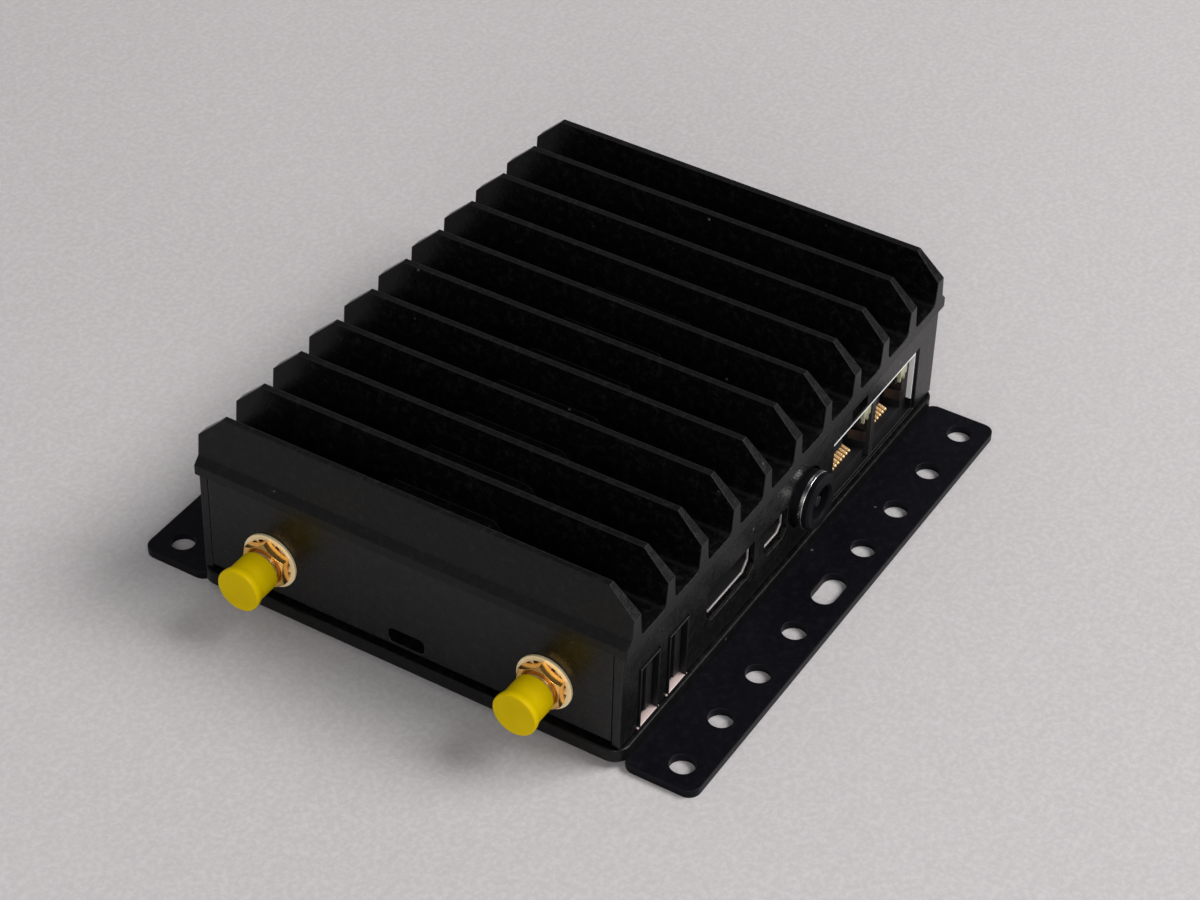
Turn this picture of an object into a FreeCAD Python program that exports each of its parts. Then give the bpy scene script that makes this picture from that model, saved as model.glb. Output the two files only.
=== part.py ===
import FreeCAD, Part
import math
import os
import re
import Sketcher

os.makedirs("parts", exist_ok=True)

# Driving dimensions in millimetres. X runs along the long side towards the antennas, Y towards the rear ports
SIZES = {
    # Mounting bracket
    "bracket_size": 110,
    "plate_thick": 1.5,
    "waist_step": 5,
    "flange_tuck": 0.7,
    "bracket_corner": 2.2,
    "waist_corner": 2,
    "hole_width": 4.5,
    "hole_inset": 5,
    "holes_each_way": 4,
    "slot_length": 8.5,
    # Bracket screws and base screws
    "bracket_screw_across": 40,
    "bracket_screw_along": 30,
    "bracket_screw_width": 3,
    "bracket_screw_head": 5.6,
    "base_screw_width": 2,
    "base_screw_head": 3.8,
    "screw_clear": 0.2,
    "base_screw_bite": 1.8,
    # Base cover
    "rim_overhang": 0.8,
    "rim_height": 2.5,
    "rim_corner": 3,
    "rim_round": 0.4,
    "base_floor": 1.2,
    "base_ledge": 1.1,
    "base_boss": 7,
    # Main frame
    "wall_gap": 0.4,
    "wall_rise": 20,
    "wall_thick": 1.5,
    "skirt_overhang": 0.9,
    "rail_width": 2.8,
    "rail_height": 1.6,
    "boss_length": 3.6,
    "boss_width": 4.6,
    # Side panels
    "panel_inset": 0.1,
    "panel_thick": 1.5,
    "panel_gap": 0.2,
    "shadow_gap": 1.2,
    "lock_slot_length": 7.1,
    "lock_slot_height": 3,
    "lock_slot_rise": 0.5,
    "lock_slot_corner": 1,
    # Heat-sink casting
    "casting_length": 110.4,
    "casting_width": 84,
    "slab_thick": 2.3,
    "fin_count": 11,
    "fin_height": 9.9,
    "fin_tip": 1.2,
    "fin_root": 3,
    "fin_fillet": 1.2,
    "shoulder_width": 1.2,
    "shoulder_rise": 1,
    "shoulder_drop": 0.4,
    "bevel_length": 4.9,
    "bevel_height": 4.8,
    "plateau_height": 2.9,
    "plateau_top": 19,
    "plateau_foot": 25,
    "plateau_channels": 7,
    "recess_depth": 0.8,
    "recess_margin": 1.6,
    "pedestal_size": 26,
    # Main board and what it stands on
    "standoff_height": 6.6,
    "standoff_width": 5,
    "standoff_inset": 4,
    "standoff_rear": 15.5,
    "standoff_front": 35,
    "board_thick": 1.6,
    "board_edge_clear": 2,
    "board_boss_clear": 1,
    "board_hole_clear": 0.2,
    "board_screw_width": 2.5,
    "board_screw_head": 4.5,
    "board_screw_top": 1.6,
    "board_screw_bite": 4,
    "cutout_clear": 0.4,
    # Processor and thermal pad
    "processor_across": 15.75,
    "processor_size": 25,
    "processor_base": 1,
    "die_size": 15,
    "die_height": 0.8,
    "pad_thick": 1,
    # Parts on the board
    "coil_size": 5,
    "coil_height": 3.5,
    "coil_across": -6.5,
    "coil_spacing": 7,
    "capacitor_width": 5,
    "capacitor_height": 5.5,
    "capacitor_across": -31,
    "capacitor_along": -18,
    "capacitor_spacing": 7,
    "battery_width": 12.5,
    "battery_thick": 2,
    "battery_inset": 10,
    "battery_along": 2,
    "holder_wall": 0.9,
    "holder_floor": 0.6,
    "holder_clear": 0.05,
    "memory_length": 67.6,
    "memory_width": 30,
    "memory_thick": 1.2,
    "memory_drop": 1.6,
    "memory_socket_length": 70,
    "memory_socket_width": 5,
    "memory_socket_height": 4,
    "memory_socket_along": -35.5,
    "memory_bite": 3,
    "chip_size": 9,
    "chip_width": 11,
    "chip_height": 0.9,
    "chip_spacing": 15.5,
    "chip_along": 16.5,
    "card_width": 22,
    "card_thick": 0.8,
    "card_lift": 1.4,
    "card_bite": 2,
    "card_socket_depth": 6,
    "card_socket_height": 3.2,
    "card_post": 3.5,
    "card_screw_width": 1.6,
    "card_screw_head": 3,
    "card_screw_top": 0.8,
    "card_chip_height": 1,
    "wireless_length": 30,
    "wireless_inset": 3,
    "wireless_along": 0,
    "storage_length": 42,
    "storage_gap": 1.3,
    "storage_along": 10.6,
    # Rear ports
    "port_metal": 0.35,
    "port_block": 2,
    "usb_thick": 6,
    "usb_wide": 13.15,
    "usb_depth": 12,
    "usb_proud": 0.25,
    "usb_lift": 0.1,
    "usb_clear": 0.4,
    "usb_outer_inset": 8.8,
    "usb_pitch": 9.1,
    "usb_tongue_thick": 2,
    "usb_tongue_wide": 11.1,
    "usb_tongue_gap": 0.35,
    "usb_tongue_recess": 1,
    "video_wide": 15,
    "video_high": 5.6,
    "video_bevel": 1.6,
    "video_depth": 11,
    "video_recess": 0.9,
    "port_drop": 0.9,
    "video_clear": 0.5,
    "video_share": 0.23864,
    "video_tongue_wide": 10.6,
    "video_tongue_thick": 1.6,
    "small_video_wide": 7.4,
    "small_video_high": 5,
    "small_video_bevel": 1.2,
    "small_video_clear": 0.3,
    "small_video_share": 0.09375,
    "small_video_tongue_wide": 4.4,
    "small_video_tongue_thick": 1.3,
    "port_tongue_recess": 1.2,
    "power_share": 0.27557,
    "power_rise": 2.8,
    "power_collar": 10.5,
    "power_collar_clear": 0.4,
    "power_chamfer": 0.4,
    "power_proud": 3.2,
    "power_bore": 6.2,
    "power_bore_depth": 9.5,
    "power_pin": 2,
    "power_pin_recess": 0.8,
    "power_box_wide": 9.4,
    "power_box_high": 11,
    "power_box_depth": 11,
    "network_inset": 7.1,
    "network_wide": 31.8,
    "network_high": 13.5,
    "network_lift": 0.6,
    "network_depth": 21,
    "network_clear": 0.35,
    "network_recess": 1.05,
    "network_chamfer": 0.5,
    "network_pitch": 14,
    "network_metal": 0.3,
    "jack_wide": 12,
    "jack_high": 7.2,
    "jack_floor": 1.4,
    "jack_notch_wide": 6.4,
    "jack_notch_high": 1.8,
    "jack_catch_wide": 3.6,
    "jack_catch_high": 1.3,
    "jack_depth": 13,
    "light_wide": 2.6,
    "light_high": 2,
    "light_depth": 3,
    "light_margin": 0.5,
    "contact_count": 8,
    "contact_pitch": 1.02,
    "contact_wide": 0.5,
    "contact_thick": 0.3,
    "contact_length": 7,
    "contact_angle": 20,
    "contact_start": 2.2,
    "rear_lock_shift": 6.95,
    "rear_lock_length": 5.9,
    "rear_lock_height": 2.6,
    "rear_lock_below": 3.8,
    # Front ports
    "button_inset": 19.2,
    "button_rise": 3.6,
    "button_width": 7.6,
    "button_clear": 0.3,
    "button_proud": 0.8,
    "button_flange": 9.2,
    "button_flange_thick": 0.7,
    "button_stem": 3,
    "button_stem_length": 1.4,
    "button_travel": 0.4,
    "switch_wide": 7,
    "switch_high": 7.4,
    "switch_deep": 4.2,
    "light_pipe_inset": 28.2,
    "light_pipe_rise": 3.2,
    "light_pipe_width": 2.9,
    "light_pipe_clear": 0.05,
    "light_pipe_head": 4.2,
    "light_pipe_length": 3,
    "front_usb_across": 10,
    "front_usb_pitch": 19,
    "audio_inset": 21.2,
    "audio_wide": 7,
    "audio_high": 5.4,
    "audio_depth": 11,
    "audio_nose": 5.6,
    "audio_bore": 3.6,
    "audio_bore_depth": 10,
    # Antenna connectors and dust caps
    "antenna_along": 27,
    "antenna_rise": 8.2,
    "thread_width": 6.2,
    "thread_clear": 0.15,
    "thread_reach": 8.1,
    "inner_flange": 8,
    "inner_flange_thick": 2,
    "crimp_width": 3.4,
    "crimp_length": 6,
    "socket_width": 4.6,
    "socket_depth": 3,
    "insulator_thick": 1.5,
    "pin_width": 0.9,
    "pin_recess": 0.3,
    "washer_width": 10.5,
    "washer_thick": 0.6,
    "nut_across": 8,
    "nut_thick": 1.9,
    "nut_chamfer": 0.45,
    "cap_width": 7.4,
    "cap_flange": 8.2,
    "cap_flange_thick": 0.9,
    "cap_flare": 0.4,
    "cap_clear": 0.05,
    "cap_nut_gap": 0.8,
    "cap_end_gap": 0.2,
    "cap_end_thick": 1.2,
    "cap_round": 0.3,
    "cable_width": 1.13,
    "plug_width": 3,
    "plug_height": 1.6,
    "plug_along": 6,
    "plug_inset": 2.2,
    "cable_straight": 9,
    "cable_bend_reach": 27,
    "cable_bend_shift": 5.3,
    "cable_bend_rise": 0.3,
    "cable_turn_reach": 16,
    "cable_turn_shift": 11.5,
    "cable_end_reach": 6,
    "cable_end_shift": 1.5,
    "cable_end_rise": 0.1,
    "cable_bite": 0.15,
}

doc = FreeCAD.newDocument("IndustrialPC")
sheet = doc.addObject("Spreadsheet::Sheet", "Sizes")
for row, (name, value) in enumerate(SIZES.items(), start=1):
    sheet.set(f"A{row}", name)
    sheet.set(f"B{row}", str(value))
    sheet.setAlias(f"B{row}", name)
doc.recompute()

# Levels and faces that several pieces share, as formulas of the sizes
PLATE_TOP = "plate_thick"
HOLE_ROW = "(bracket_size / 2 - hole_inset)"
HOLE_PITCH = f"({HOLE_ROW} / holes_each_way)"
FLOOR_TOP = "(plate_thick + base_floor)"
RIM_TOP = "(plate_thick + rim_height)"
WALL_LOW = f"({RIM_TOP} + wall_gap)"
PANEL_LOW = f"({RIM_TOP} + shadow_gap)"
SKIRT_LOW = f"({RIM_TOP} + wall_rise)"
CHANNEL_FLOOR = f"({SKIRT_LOW} + slab_thick)"
FIN_TOP = f"({CHANNEL_FLOOR} + fin_height)"
BOARD_LOW = f"({FLOOR_TOP} + standoff_height)"
BOARD_TOP = f"({BOARD_LOW} + board_thick)"
PAD_LOW = f"({BOARD_TOP} + processor_base + die_height)"
PAD_TOP = f"({PAD_LOW} + pad_thick)"
CASE_END = "(casting_length / 2)"
PANEL_OUT = f"({CASE_END} - panel_inset)"
PANEL_IN = f"({PANEL_OUT} - panel_thick)"
RAIL_IN = f"({PANEL_IN} - rail_width)"
BOSS_IN = f"({PANEL_IN} - boss_length)"
SKIRT_OUT = "(casting_width / 2)"
WALL_OUT = f"({SKIRT_OUT} - skirt_overhang)"
WALL_IN = f"({WALL_OUT} - wall_thick)"
BOSS_SIDE = f"({WALL_IN} - boss_width)"
CORNER_SCREW = (f"({PANEL_IN} - boss_length / 2)", f"({WALL_IN} - boss_width / 2)")
BOARD_SIDE = f"({WALL_IN} - board_edge_clear)"
BOARD_END = f"({BOSS_IN} - board_boss_clear)"
STANDOFF_ACROSS = f"({BOARD_END} - standoff_inset)"
BATTERY_ACROSS = f"({BOARD_END} - battery_inset)"
ANTENNA_HEIGHT = f"({RIM_TOP} + antenna_rise)"
THREAD_END = f"({PANEL_OUT} + thread_reach)"
CRIMP_END = f"({PANEL_IN} - inner_flange_thick - crimp_length)"
NUT_LOW = f"({PANEL_OUT} + washer_thick)"
USB_LOW = f"({RIM_TOP} + usb_lift)"
USB_FRONT = f"({WALL_OUT} + usb_proud)"
USB_OUTER = f"({PANEL_OUT} - usb_outer_inset)"
USB_INNER = f"({USB_OUTER} - usb_pitch)"
VIDEO_FRONT = f"({WALL_OUT} - video_recess)"
NETWORK_LOW = f"({RIM_TOP} + network_lift)"
NETWORK_FRONT = f"({WALL_OUT} - network_clear)"
NETWORK_ACROSS = f"(network_inset + network_wide / 2 - {CASE_END})"
NETWORK_END = f"({NETWORK_ACROSS} + network_wide / 2)"
REAR_LOCK_ACROSS = f"({NETWORK_ACROSS} + rear_lock_shift)"
POWER_HEIGHT = f"({BOARD_TOP} + power_rise)"
PORT_ROOM = f"({USB_INNER} - usb_thick / 2 - {NETWORK_END})"
PORT_SLACK = f"({PORT_ROOM} - power_collar - small_video_wide - video_wide)"
POWER_ACROSS = f"({NETWORK_END} + power_share * {PORT_SLACK} + power_collar / 2)"
POWER_SIDE = f"({POWER_ACROSS} + power_collar / 2)"
SMALL_VIDEO_ACROSS = f"({POWER_SIDE} + small_video_share * {PORT_SLACK} + small_video_wide / 2)"
SMALL_VIDEO_SIDE = f"({SMALL_VIDEO_ACROSS} + small_video_wide / 2)"
VIDEO_ACROSS = f"({SMALL_VIDEO_SIDE} + video_share * {PORT_SLACK} + video_wide / 2)"
PORT_ACROSS = {"video": VIDEO_ACROSS, "small_video": SMALL_VIDEO_ACROSS}
STORAGE_ACROSS = f"({NETWORK_END} + storage_gap)"
WIRELESS_ACROSS = f"(wireless_inset - {BOARD_END})"
BUTTON_ACROSS = f"({CASE_END} - button_inset)"
LIGHT_PIPE_ACROSS = f"({CASE_END} - light_pipe_inset)"
AUDIO_ACROSS = f"(audio_inset - {CASE_END})"
OUTER_FIN = f"({CASE_END} - shoulder_width - fin_root / 2)"
FIN_PITCH = f"({OUTER_FIN} * 2 / (fin_count - 1))"

WORD = re.compile(r"[a-z][a-z_]*")
nodes = []


def size(name):
    """One driving dimension as a number."""
    return float(sheet.get(name))


def formula(text):
    """The same formula with every size's name pointing at its cell."""
    return WORD.sub(lambda word: "Sizes." + word.group() if word.group() in SIZES else word.group(), text)


def measure(text):
    """A formula of the sizes as a number."""
    return float(sheet.evalExpression(formula(text)))


def bind(target, name, text):
    target.setExpression(name, formula(text))


def new_body(label):
    body = doc.addObject("PartDesign::Body", label)
    nodes.append(body)
    return body


def origin_item(body, role):
    return [item for item in body.Origin.OriginFeatures if item.Role == role][0]


def new_sketch(body, plane, position="0", across="0", up="0"):
    """A sketch on XY at height position, on XZ at depth position or on YZ at length position."""
    sketch = body.newObject("Sketcher::SketchObject", body.Name + "_sketch")
    sketch.AttachmentSupport = (origin_item(body, plane + "_Plane"), [""])
    sketch.MapMode = "FlatFace"
    bind(sketch, "AttachmentOffset.Base.x", across)
    bind(sketch, "AttachmentOffset.Base.y", up)
    bind(sketch, "AttachmentOffset.Base.z", f"-({position})" if plane == "XZ" else position)
    return sketch


def fix_point(sketch, geometry, vertex, across, up, first=(1.0, 1.0)):
    """Ties a point to its two formulas; first is where the point is drawn."""
    for kind, axis, text, start in (("DistanceX", -2, across, first[0]), ("DistanceY", -1, up, first[1])):
        if text == "0":
            sketch.addConstraint(Sketcher.Constraint("PointOnObject", geometry, vertex, axis))
        else:
            number = sketch.addConstraint(Sketcher.Constraint(kind, -1, 1, geometry, vertex, start))
            bind(sketch, f"Constraints[{number}]", text)


def add_polygon(sketch, points):
    first = sketch.GeometryCount
    count = len(points)
    turn = 2 * math.pi / count
    start = [FreeCAD.Vector(math.cos(i * turn), math.sin(i * turn), 0) for i in range(count)]
    for i in range(count):
        sketch.addGeometry(Part.LineSegment(start[i], start[(i + 1) % count]))
    for i in range(count):
        sketch.addConstraint(Sketcher.Constraint("Coincident", first + i, 2, first + (i + 1) % count, 1))
    for i, (across, up) in enumerate(points):
        fix_point(sketch, first + i, 1, across, up)
    return sketch


def add_rectangle(sketch, left, right, low, high):
    return add_polygon(sketch, [(left, low), (right, low), (right, high), (left, high)])


def add_centred(sketch, across, up, width, height):
    sides = (f"{across} - {width} / 2", f"{across} + {width} / 2")
    return add_rectangle(sketch, *sides, f"{up} - {height} / 2", f"{up} + {height} / 2")


def add_circle(sketch, across, up, width):
    circle = sketch.addGeometry(Part.Circle(FreeCAD.Vector(1, 1, 0), FreeCAD.Vector(0, 0, 1), 1))
    fix_point(sketch, circle, 3, across, up)
    number = sketch.addConstraint(Sketcher.Constraint("Diameter", circle, 2.0))
    bind(sketch, f"Constraints[{number}]", width)
    return sketch


def add_slot(sketch, up, length, width):
    """A slot with round ends along the sketch's own X axis, centred across it at height up."""
    first = sketch.GeometryCount
    half = (size(length) - size(width)) / 2
    radius = size(width) / 2
    height = measure(up)
    axis = FreeCAD.Vector(0, 0, 1)
    for centre, begin in ((-half, math.pi / 2), (half, -math.pi / 2)):
        circle = Part.Circle(FreeCAD.Vector(centre, height, 0), axis, radius)
        sketch.addGeometry(Part.ArcOfCircle(circle, begin, begin + math.pi))
    for level, begin, end in ((height - radius, -half, half), (height + radius, half, -half)):
        sketch.addGeometry(Part.LineSegment(FreeCAD.Vector(begin, level, 0), FreeCAD.Vector(end, level, 0)))
    left, right, low, high = range(first, first + 4)
    for item, following in ((left, low), (low, right), (right, high), (high, left)):
        sketch.addConstraint(Sketcher.Constraint("Tangent", item, 2, following, 1))
    fix_point(sketch, left, 3, f"-({length} - {width}) / 2", up, (-half, height))
    fix_point(sketch, right, 3, f"({length} - {width}) / 2", up, (half, height))
    number = sketch.addConstraint(Sketcher.Constraint("Diameter", left, radius * 2))
    bind(sketch, f"Constraints[{number}]", width)
    return sketch


def new_feature(body, kind, sketch):
    feature = body.newObject("PartDesign::" + kind, f"{body.Name}_{kind.lower()}")
    feature.Profile = sketch
    return feature


def pad(body, sketch, length, back=False, second=None):
    feature = new_feature(body, "Pad", sketch)
    feature.Reversed = back
    bind(feature, "Length", length)
    if second:
        feature.SideType = "Two sides"
        bind(feature, "Length2", second)
    return feature


def pocket(body, sketch, length, back=False):
    feature = new_feature(body, "Pocket", sketch)
    feature.Reversed = back
    bind(feature, "Length", length)
    return feature


def both_sides(feature):
    feature.SideType = "Symmetric"
    return feature


def revolve(body, sketch):
    feature = new_feature(body, "Revolution", sketch)
    feature.ReferenceAxis = (sketch, ["H_Axis"])
    feature.Angle = 360
    return feature


def edges_of(feature, wanted):
    doc.recompute()
    found = [f"Edge{i}" for i, edge in enumerate(feature.Shape.Edges, start=1) if wanted(edge)]
    if not found:
        raise ValueError(f"{feature.Label} has no such edge")
    return found


def fillet(body, base, wanted, radius):
    feature = body.newObject("PartDesign::Fillet", body.Name + "_fillet")
    feature.Base = (base, edges_of(base, wanted))
    bind(feature, "Radius", radius)
    return feature


def chamfer(body, base, wanted, length):
    feature = body.newObject("PartDesign::Chamfer", body.Name + "_chamfer")
    feature.Base = (base, edges_of(base, wanted))
    bind(feature, "Size", length)
    return feature


def runs_along(edge, axis):
    """True for a straight edge parallel to axis 0, 1 or 2."""
    if len(edge.Vertexes) != 2:
        return False
    step = edge.Vertexes[1].Point - edge.Vertexes[0].Point
    return math.isclose(abs(step[axis]), edge.Length, abs_tol=1e-6)


def ring_at(edge, level, width):
    """True for a full circle of the given width that lies at one height."""
    curve = edge.Curve
    return (
        isinstance(curve, Part.Circle)
        and math.isclose(curve.Center.z, level, abs_tol=1e-6)
        and math.isclose(curve.Radius * 2, width, abs_tol=1e-6)
    )


def box(label, across, along, up):
    """A block between the two formulas of each direction."""
    block = doc.addObject("Part::Box", label)
    for low_high, length, place in ((across, "Length", "x"), (along, "Width", "y"), (up, "Height", "z")):
        bind(block, length, f"{low_high[1]} - {low_high[0]}")
        bind(block, "Placement.Base." + place, low_high[0])
    return block


def block_at(label, centre, wide, deep, low, high):
    """A block centred on a point of the plan."""
    across, along = centre
    return box(
        label,
        (f"({across} - {wide} / 2)", f"({across} + {wide} / 2)"),
        (f"({along} - {deep} / 2)", f"({along} + {deep} / 2)"),
        (low, high),
    )


TURNS = {
    "x": FreeCAD.Rotation(FreeCAD.Vector(0, 1, 0), 90),
    "y": FreeCAD.Rotation(FreeCAD.Vector(1, 0, 0), -90),
    "z": FreeCAD.Rotation(),
}


def place(solid, axis, start):
    solid.Placement = FreeCAD.Placement(FreeCAD.Vector(), TURNS[axis])
    for name, text in zip("xyz", start):
        bind(solid, "Placement.Base." + name, text)
    return solid


def rod(label, axis, start, length, width):
    cylinder = doc.addObject("Part::Cylinder", label)
    bind(cylinder, "Radius", f"{width} / 2")
    bind(cylinder, "Height", length)
    return place(cylinder, axis, start)


def cone(label, axis, start, length, width, far_width):
    taper = doc.addObject("Part::Cone", label)
    bind(taper, "Radius1", f"{width} / 2")
    bind(taper, "Radius2", f"{far_width} / 2")
    bind(taper, "Height", length)
    return place(taper, axis, start)


def fuse(label, shapes):
    joined = doc.addObject("Part::MultiFuse", label)
    joined.Shapes = shapes
    return joined


def cut(label, base, tool):
    rest = doc.addObject("Part::Cut", label)
    rest.Base = base
    rest.Tool = tool
    return rest


def group(label, shapes):
    """Separate solids of one node."""
    several = doc.addObject("Part::Compound", label)
    several.Links = shapes
    return several


def node(item):
    nodes.append(item)
    return item


def corners(across, along):
    return [(f"{a}{across}", f"{b}{along}") for a in ("-", "") for b in ("-", "")]


# Mounting bracket: one flat plate with a wide flange in front and behind, joined by a narrower waist
def mounting_bracket():
    body = new_body("mounting_bracket")
    half = "(bracket_size / 2)"
    waist = "(bracket_size / 2 - waist_step)"
    step = f"({SKIRT_OUT} - flange_tuck)"
    right_side = [
        (half, f"-{half}"),
        (half, f"-{step}"),
        (waist, f"-{step}"),
        (waist, step),
        (half, step),
        (half, half),
    ]
    left_side = [(f"-{across}", along) for across, along in reversed(right_side)]
    plate = pad(body, add_polygon(new_sketch(body, "XY"), right_side + left_side), "plate_thick")
    outer = size("bracket_size") / 2
    inner = outer - size("waist_step")

    def outer_corner(edge):
        return runs_along(edge, 2) and math.isclose(abs(edge.Vertexes[0].X), outer, abs_tol=1e-6)

    def waist_corner(edge):
        point = edge.Vertexes[0].Point
        return runs_along(edge, 2) and math.isclose(abs(point.x), inner, abs_tol=1e-6)

    rounded = fillet(body, plate, outer_corner, "bracket_corner")
    fillet(body, rounded, waist_corner, "waist_corner")
    flange_holes = new_sketch(body, "XY", "plate_thick")
    for number in range(1, int(size("holes_each_way")) + 1):
        for side in ("-", ""):
            add_circle(flange_holes, f"{side}{HOLE_PITCH} * {number}", HOLE_ROW, "hole_width")
    add_slot(flange_holes, HOLE_ROW, "slot_length", "hole_width")
    row = pocket(body, flange_holes, "plate_thick")
    mirrored = body.newObject("PartDesign::Mirrored", "mounting_bracket_mirrored")
    mirrored.Originals = [row]
    mirrored.MirrorPlane = (origin_item(body, "XZ_Plane"), [""])
    body.Tip = mirrored
    screw_holes = new_sketch(body, "XY", "plate_thick")
    for across, along in corners("bracket_screw_across", "bracket_screw_along"):
        add_circle(screw_holes, across, along, "(bracket_screw_width + screw_clear * 2)")
    drilled = pocket(body, screw_holes, "plate_thick")
    hole = size("bracket_screw_width") + size("screw_clear") * 2
    sink = "(bracket_screw_head - bracket_screw_width) / 2 - screw_clear"
    chamfer(body, drilled, lambda edge: ring_at(edge, 0, hole), sink)


# Flat-head screws in groups: a cone and a shank each
def flat_screws(label, places, low, top, width, head):
    screws = []
    for number, (across, along) in enumerate(places):
        start = (across, along, low)
        cap = cone(f"{label}_head_{number}", "z", start, f"({head} - {width}) / 2", head, width)
        shank = rod(f"{label}_shank_{number}", "z", start, f"({top} - {low})", width)
        screws.append(fuse(f"{label}_{number}", [cap, shank]))
    return node(group(label, screws))


# Base cover: a shallow tray with a rounded rim, bosses for the bracket and countersunk corner holes
def base_cover():
    body = new_body("base_cover")
    length = "(casting_length + rim_overhang * 2)"
    plan = add_centred(new_sketch(body, "XY", PLATE_TOP), "0", "0", length, "casting_width")
    tray = pad(body, plan, "rim_height")
    upright = fillet(body, tray, lambda edge: runs_along(edge, 2), "rim_corner")
    rim_top = size("plate_thick") + size("rim_height")
    fillet(body, upright, lambda edge: all(abs(v.Z - rim_top) < 1e-6 for v in edge.Vertexes), "rim_round")
    inside_length = f"({RAIL_IN} - screw_clear) * 2"
    inside_width = f"({WALL_IN} - base_ledge) * 2"
    inside = add_centred(new_sketch(body, "XY", RIM_TOP), "0", "0", inside_length, inside_width)
    pocket(body, inside, "rim_height - base_floor")
    bosses = new_sketch(body, "XY", FLOOR_TOP)
    threads = new_sketch(body, "XY", RIM_TOP)
    for across, along in corners("bracket_screw_across", "bracket_screw_along"):
        add_circle(bosses, across, along, "base_boss")
        add_circle(threads, across, along, "bracket_screw_width")
    pad(body, bosses, "rim_height - base_floor")
    pocket(body, threads, "rim_height")
    holes = new_sketch(body, "XY", RIM_TOP)
    for across, along in corners(*CORNER_SCREW):
        add_circle(holes, across, along, "(base_screw_width + screw_clear)")
    drilled = pocket(body, holes, "rim_height")
    hole = size("base_screw_width") + size("screw_clear")
    chamfer(
        body,
        drilled,
        lambda edge: ring_at(edge, size("plate_thick"), hole),
        "(base_screw_head - base_screw_width - screw_clear) / 2",
    )


# Main frame: a low seating ring, front and rear walls with a screw boss in each corner, and the port openings
def bevelled(across, low, wide, high, bevel):
    """A port's outline: square at the top, bevelled at the two lower corners."""
    half = f"{wide} / 2"
    return [
        (f"{across} - {half} + {bevel}", low),
        (f"{across} + {half} - {bevel}", low),
        (f"{across} + {half}", f"{low} + {bevel}"),
        (f"{across} + {half}", f"{low} + {high}"),
        (f"{across} - {half}", f"{low} + {high}"),
        (f"{across} - {half}", f"{low} + {bevel}"),
    ]


def main_frame():
    body = new_body("main_frame")
    ring = new_sketch(body, "XY", RIM_TOP)
    add_centred(ring, "0", "0", f"{PANEL_IN} * 2", f"{WALL_IN} * 2")
    add_centred(ring, "0", "0", f"{RAIL_IN} * 2", f"({WALL_IN} - base_ledge) * 2")
    pad(body, ring, "rail_height")
    walls = new_sketch(body, "XY", WALL_LOW)
    for side in ("", "-"):
        half = [
            (PANEL_OUT, f"{side}{WALL_OUT}"),
            (PANEL_OUT, f"{side}{WALL_IN}"),
            (PANEL_IN, f"{side}{WALL_IN}"),
            (PANEL_IN, f"{side}{BOSS_SIDE}"),
            (BOSS_IN, f"{side}{BOSS_SIDE}"),
            (BOSS_IN, f"{side}{WALL_IN}"),
        ]
        add_polygon(walls, half + [(f"-{across}", along) for across, along in reversed(half)])
    pad(body, walls, "wall_rise - wall_gap")
    bores = new_sketch(body, "XY", SKIRT_LOW)
    for across, along in corners(*CORNER_SCREW):
        add_circle(bores, across, along, "(base_screw_width + screw_clear)")
    pocket(body, bores, "wall_rise")
    rear = new_sketch(body, "XZ")
    for across in (USB_OUTER, USB_INNER):
        sides = (f"{across} - usb_thick / 2 - usb_clear", f"{across} + usb_thick / 2 + usb_clear")
        add_rectangle(rear, *sides, f"{RIM_TOP} - wall_gap", f"{USB_LOW} + usb_wide + usb_clear")
    for port in ("video", "small_video"):
        low = f"{BOARD_TOP} - port_drop"
        wide = f"({port}_wide + {port}_clear * 2)"
        high = f"({port}_high + {port}_clear + port_drop)"
        bevel = f"({port}_bevel + {port}_clear / 4)"
        add_polygon(rear, bevelled(PORT_ACROSS[port], low, wide, high, bevel))
    add_circle(rear, POWER_ACROSS, POWER_HEIGHT, "(power_collar + power_collar_clear * 2)")
    add_rectangle(
        rear,
        f"{NETWORK_ACROSS} - network_wide / 2",
        f"{NETWORK_ACROSS} + network_wide / 2",
        NETWORK_LOW,
        f"{NETWORK_LOW} + network_high",
    )
    lock_middle = f"({SKIRT_LOW} - rear_lock_below)"
    add_centred(rear, REAR_LOCK_ACROSS, lock_middle, "rear_lock_length", "rear_lock_height")
    opened = pocket(body, rear, f"{WALL_OUT} + wall_thick")
    jack_low = size("network_inset") - size("casting_length") / 2
    jack_high = jack_low + size("network_wide")
    face = size("casting_width") / 2 - size("skirt_overhang")
    low = size("plate_thick") + size("rim_height") + size("network_lift")

    def network_edge(edge):
        inside = all(
            jack_low - 1e-6 < v.X < jack_high + 1e-6
            and abs(v.Y - face) < 1e-6
            and low - 1e-6 < v.Z < low + size("network_high") + 1e-6
            for v in edge.Vertexes
        )
        return inside and len(edge.Vertexes) == 2 and any(v.Z > low + 1e-6 for v in edge.Vertexes)

    chamfer(body, opened, network_edge, "network_chamfer")
    front = new_sketch(body, "XZ")
    add_circle(front, BUTTON_ACROSS, f"({BOARD_TOP} + button_rise)", "(button_width + button_clear * 2)")
    pipe_width = "(light_pipe_width + light_pipe_clear * 2)"
    add_circle(front, LIGHT_PIPE_ACROSS, f"({BOARD_TOP} + light_pipe_rise)", pipe_width)
    for across in ("front_usb_across", "(front_usb_across - front_usb_pitch)"):
        add_rectangle(
            front,
            f"{across} - usb_wide / 2 - usb_clear",
            f"{across} + usb_wide / 2 + usb_clear",
            f"{BOARD_TOP} - usb_clear",
            f"{BOARD_TOP} + usb_thick + usb_clear",
        )
    add_circle(front, AUDIO_ACROSS, f"({BOARD_TOP} + audio_high / 2)", "(audio_nose + usb_clear)")
    pocket(body, front, f"{WALL_OUT} + wall_thick", back=True)


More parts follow.
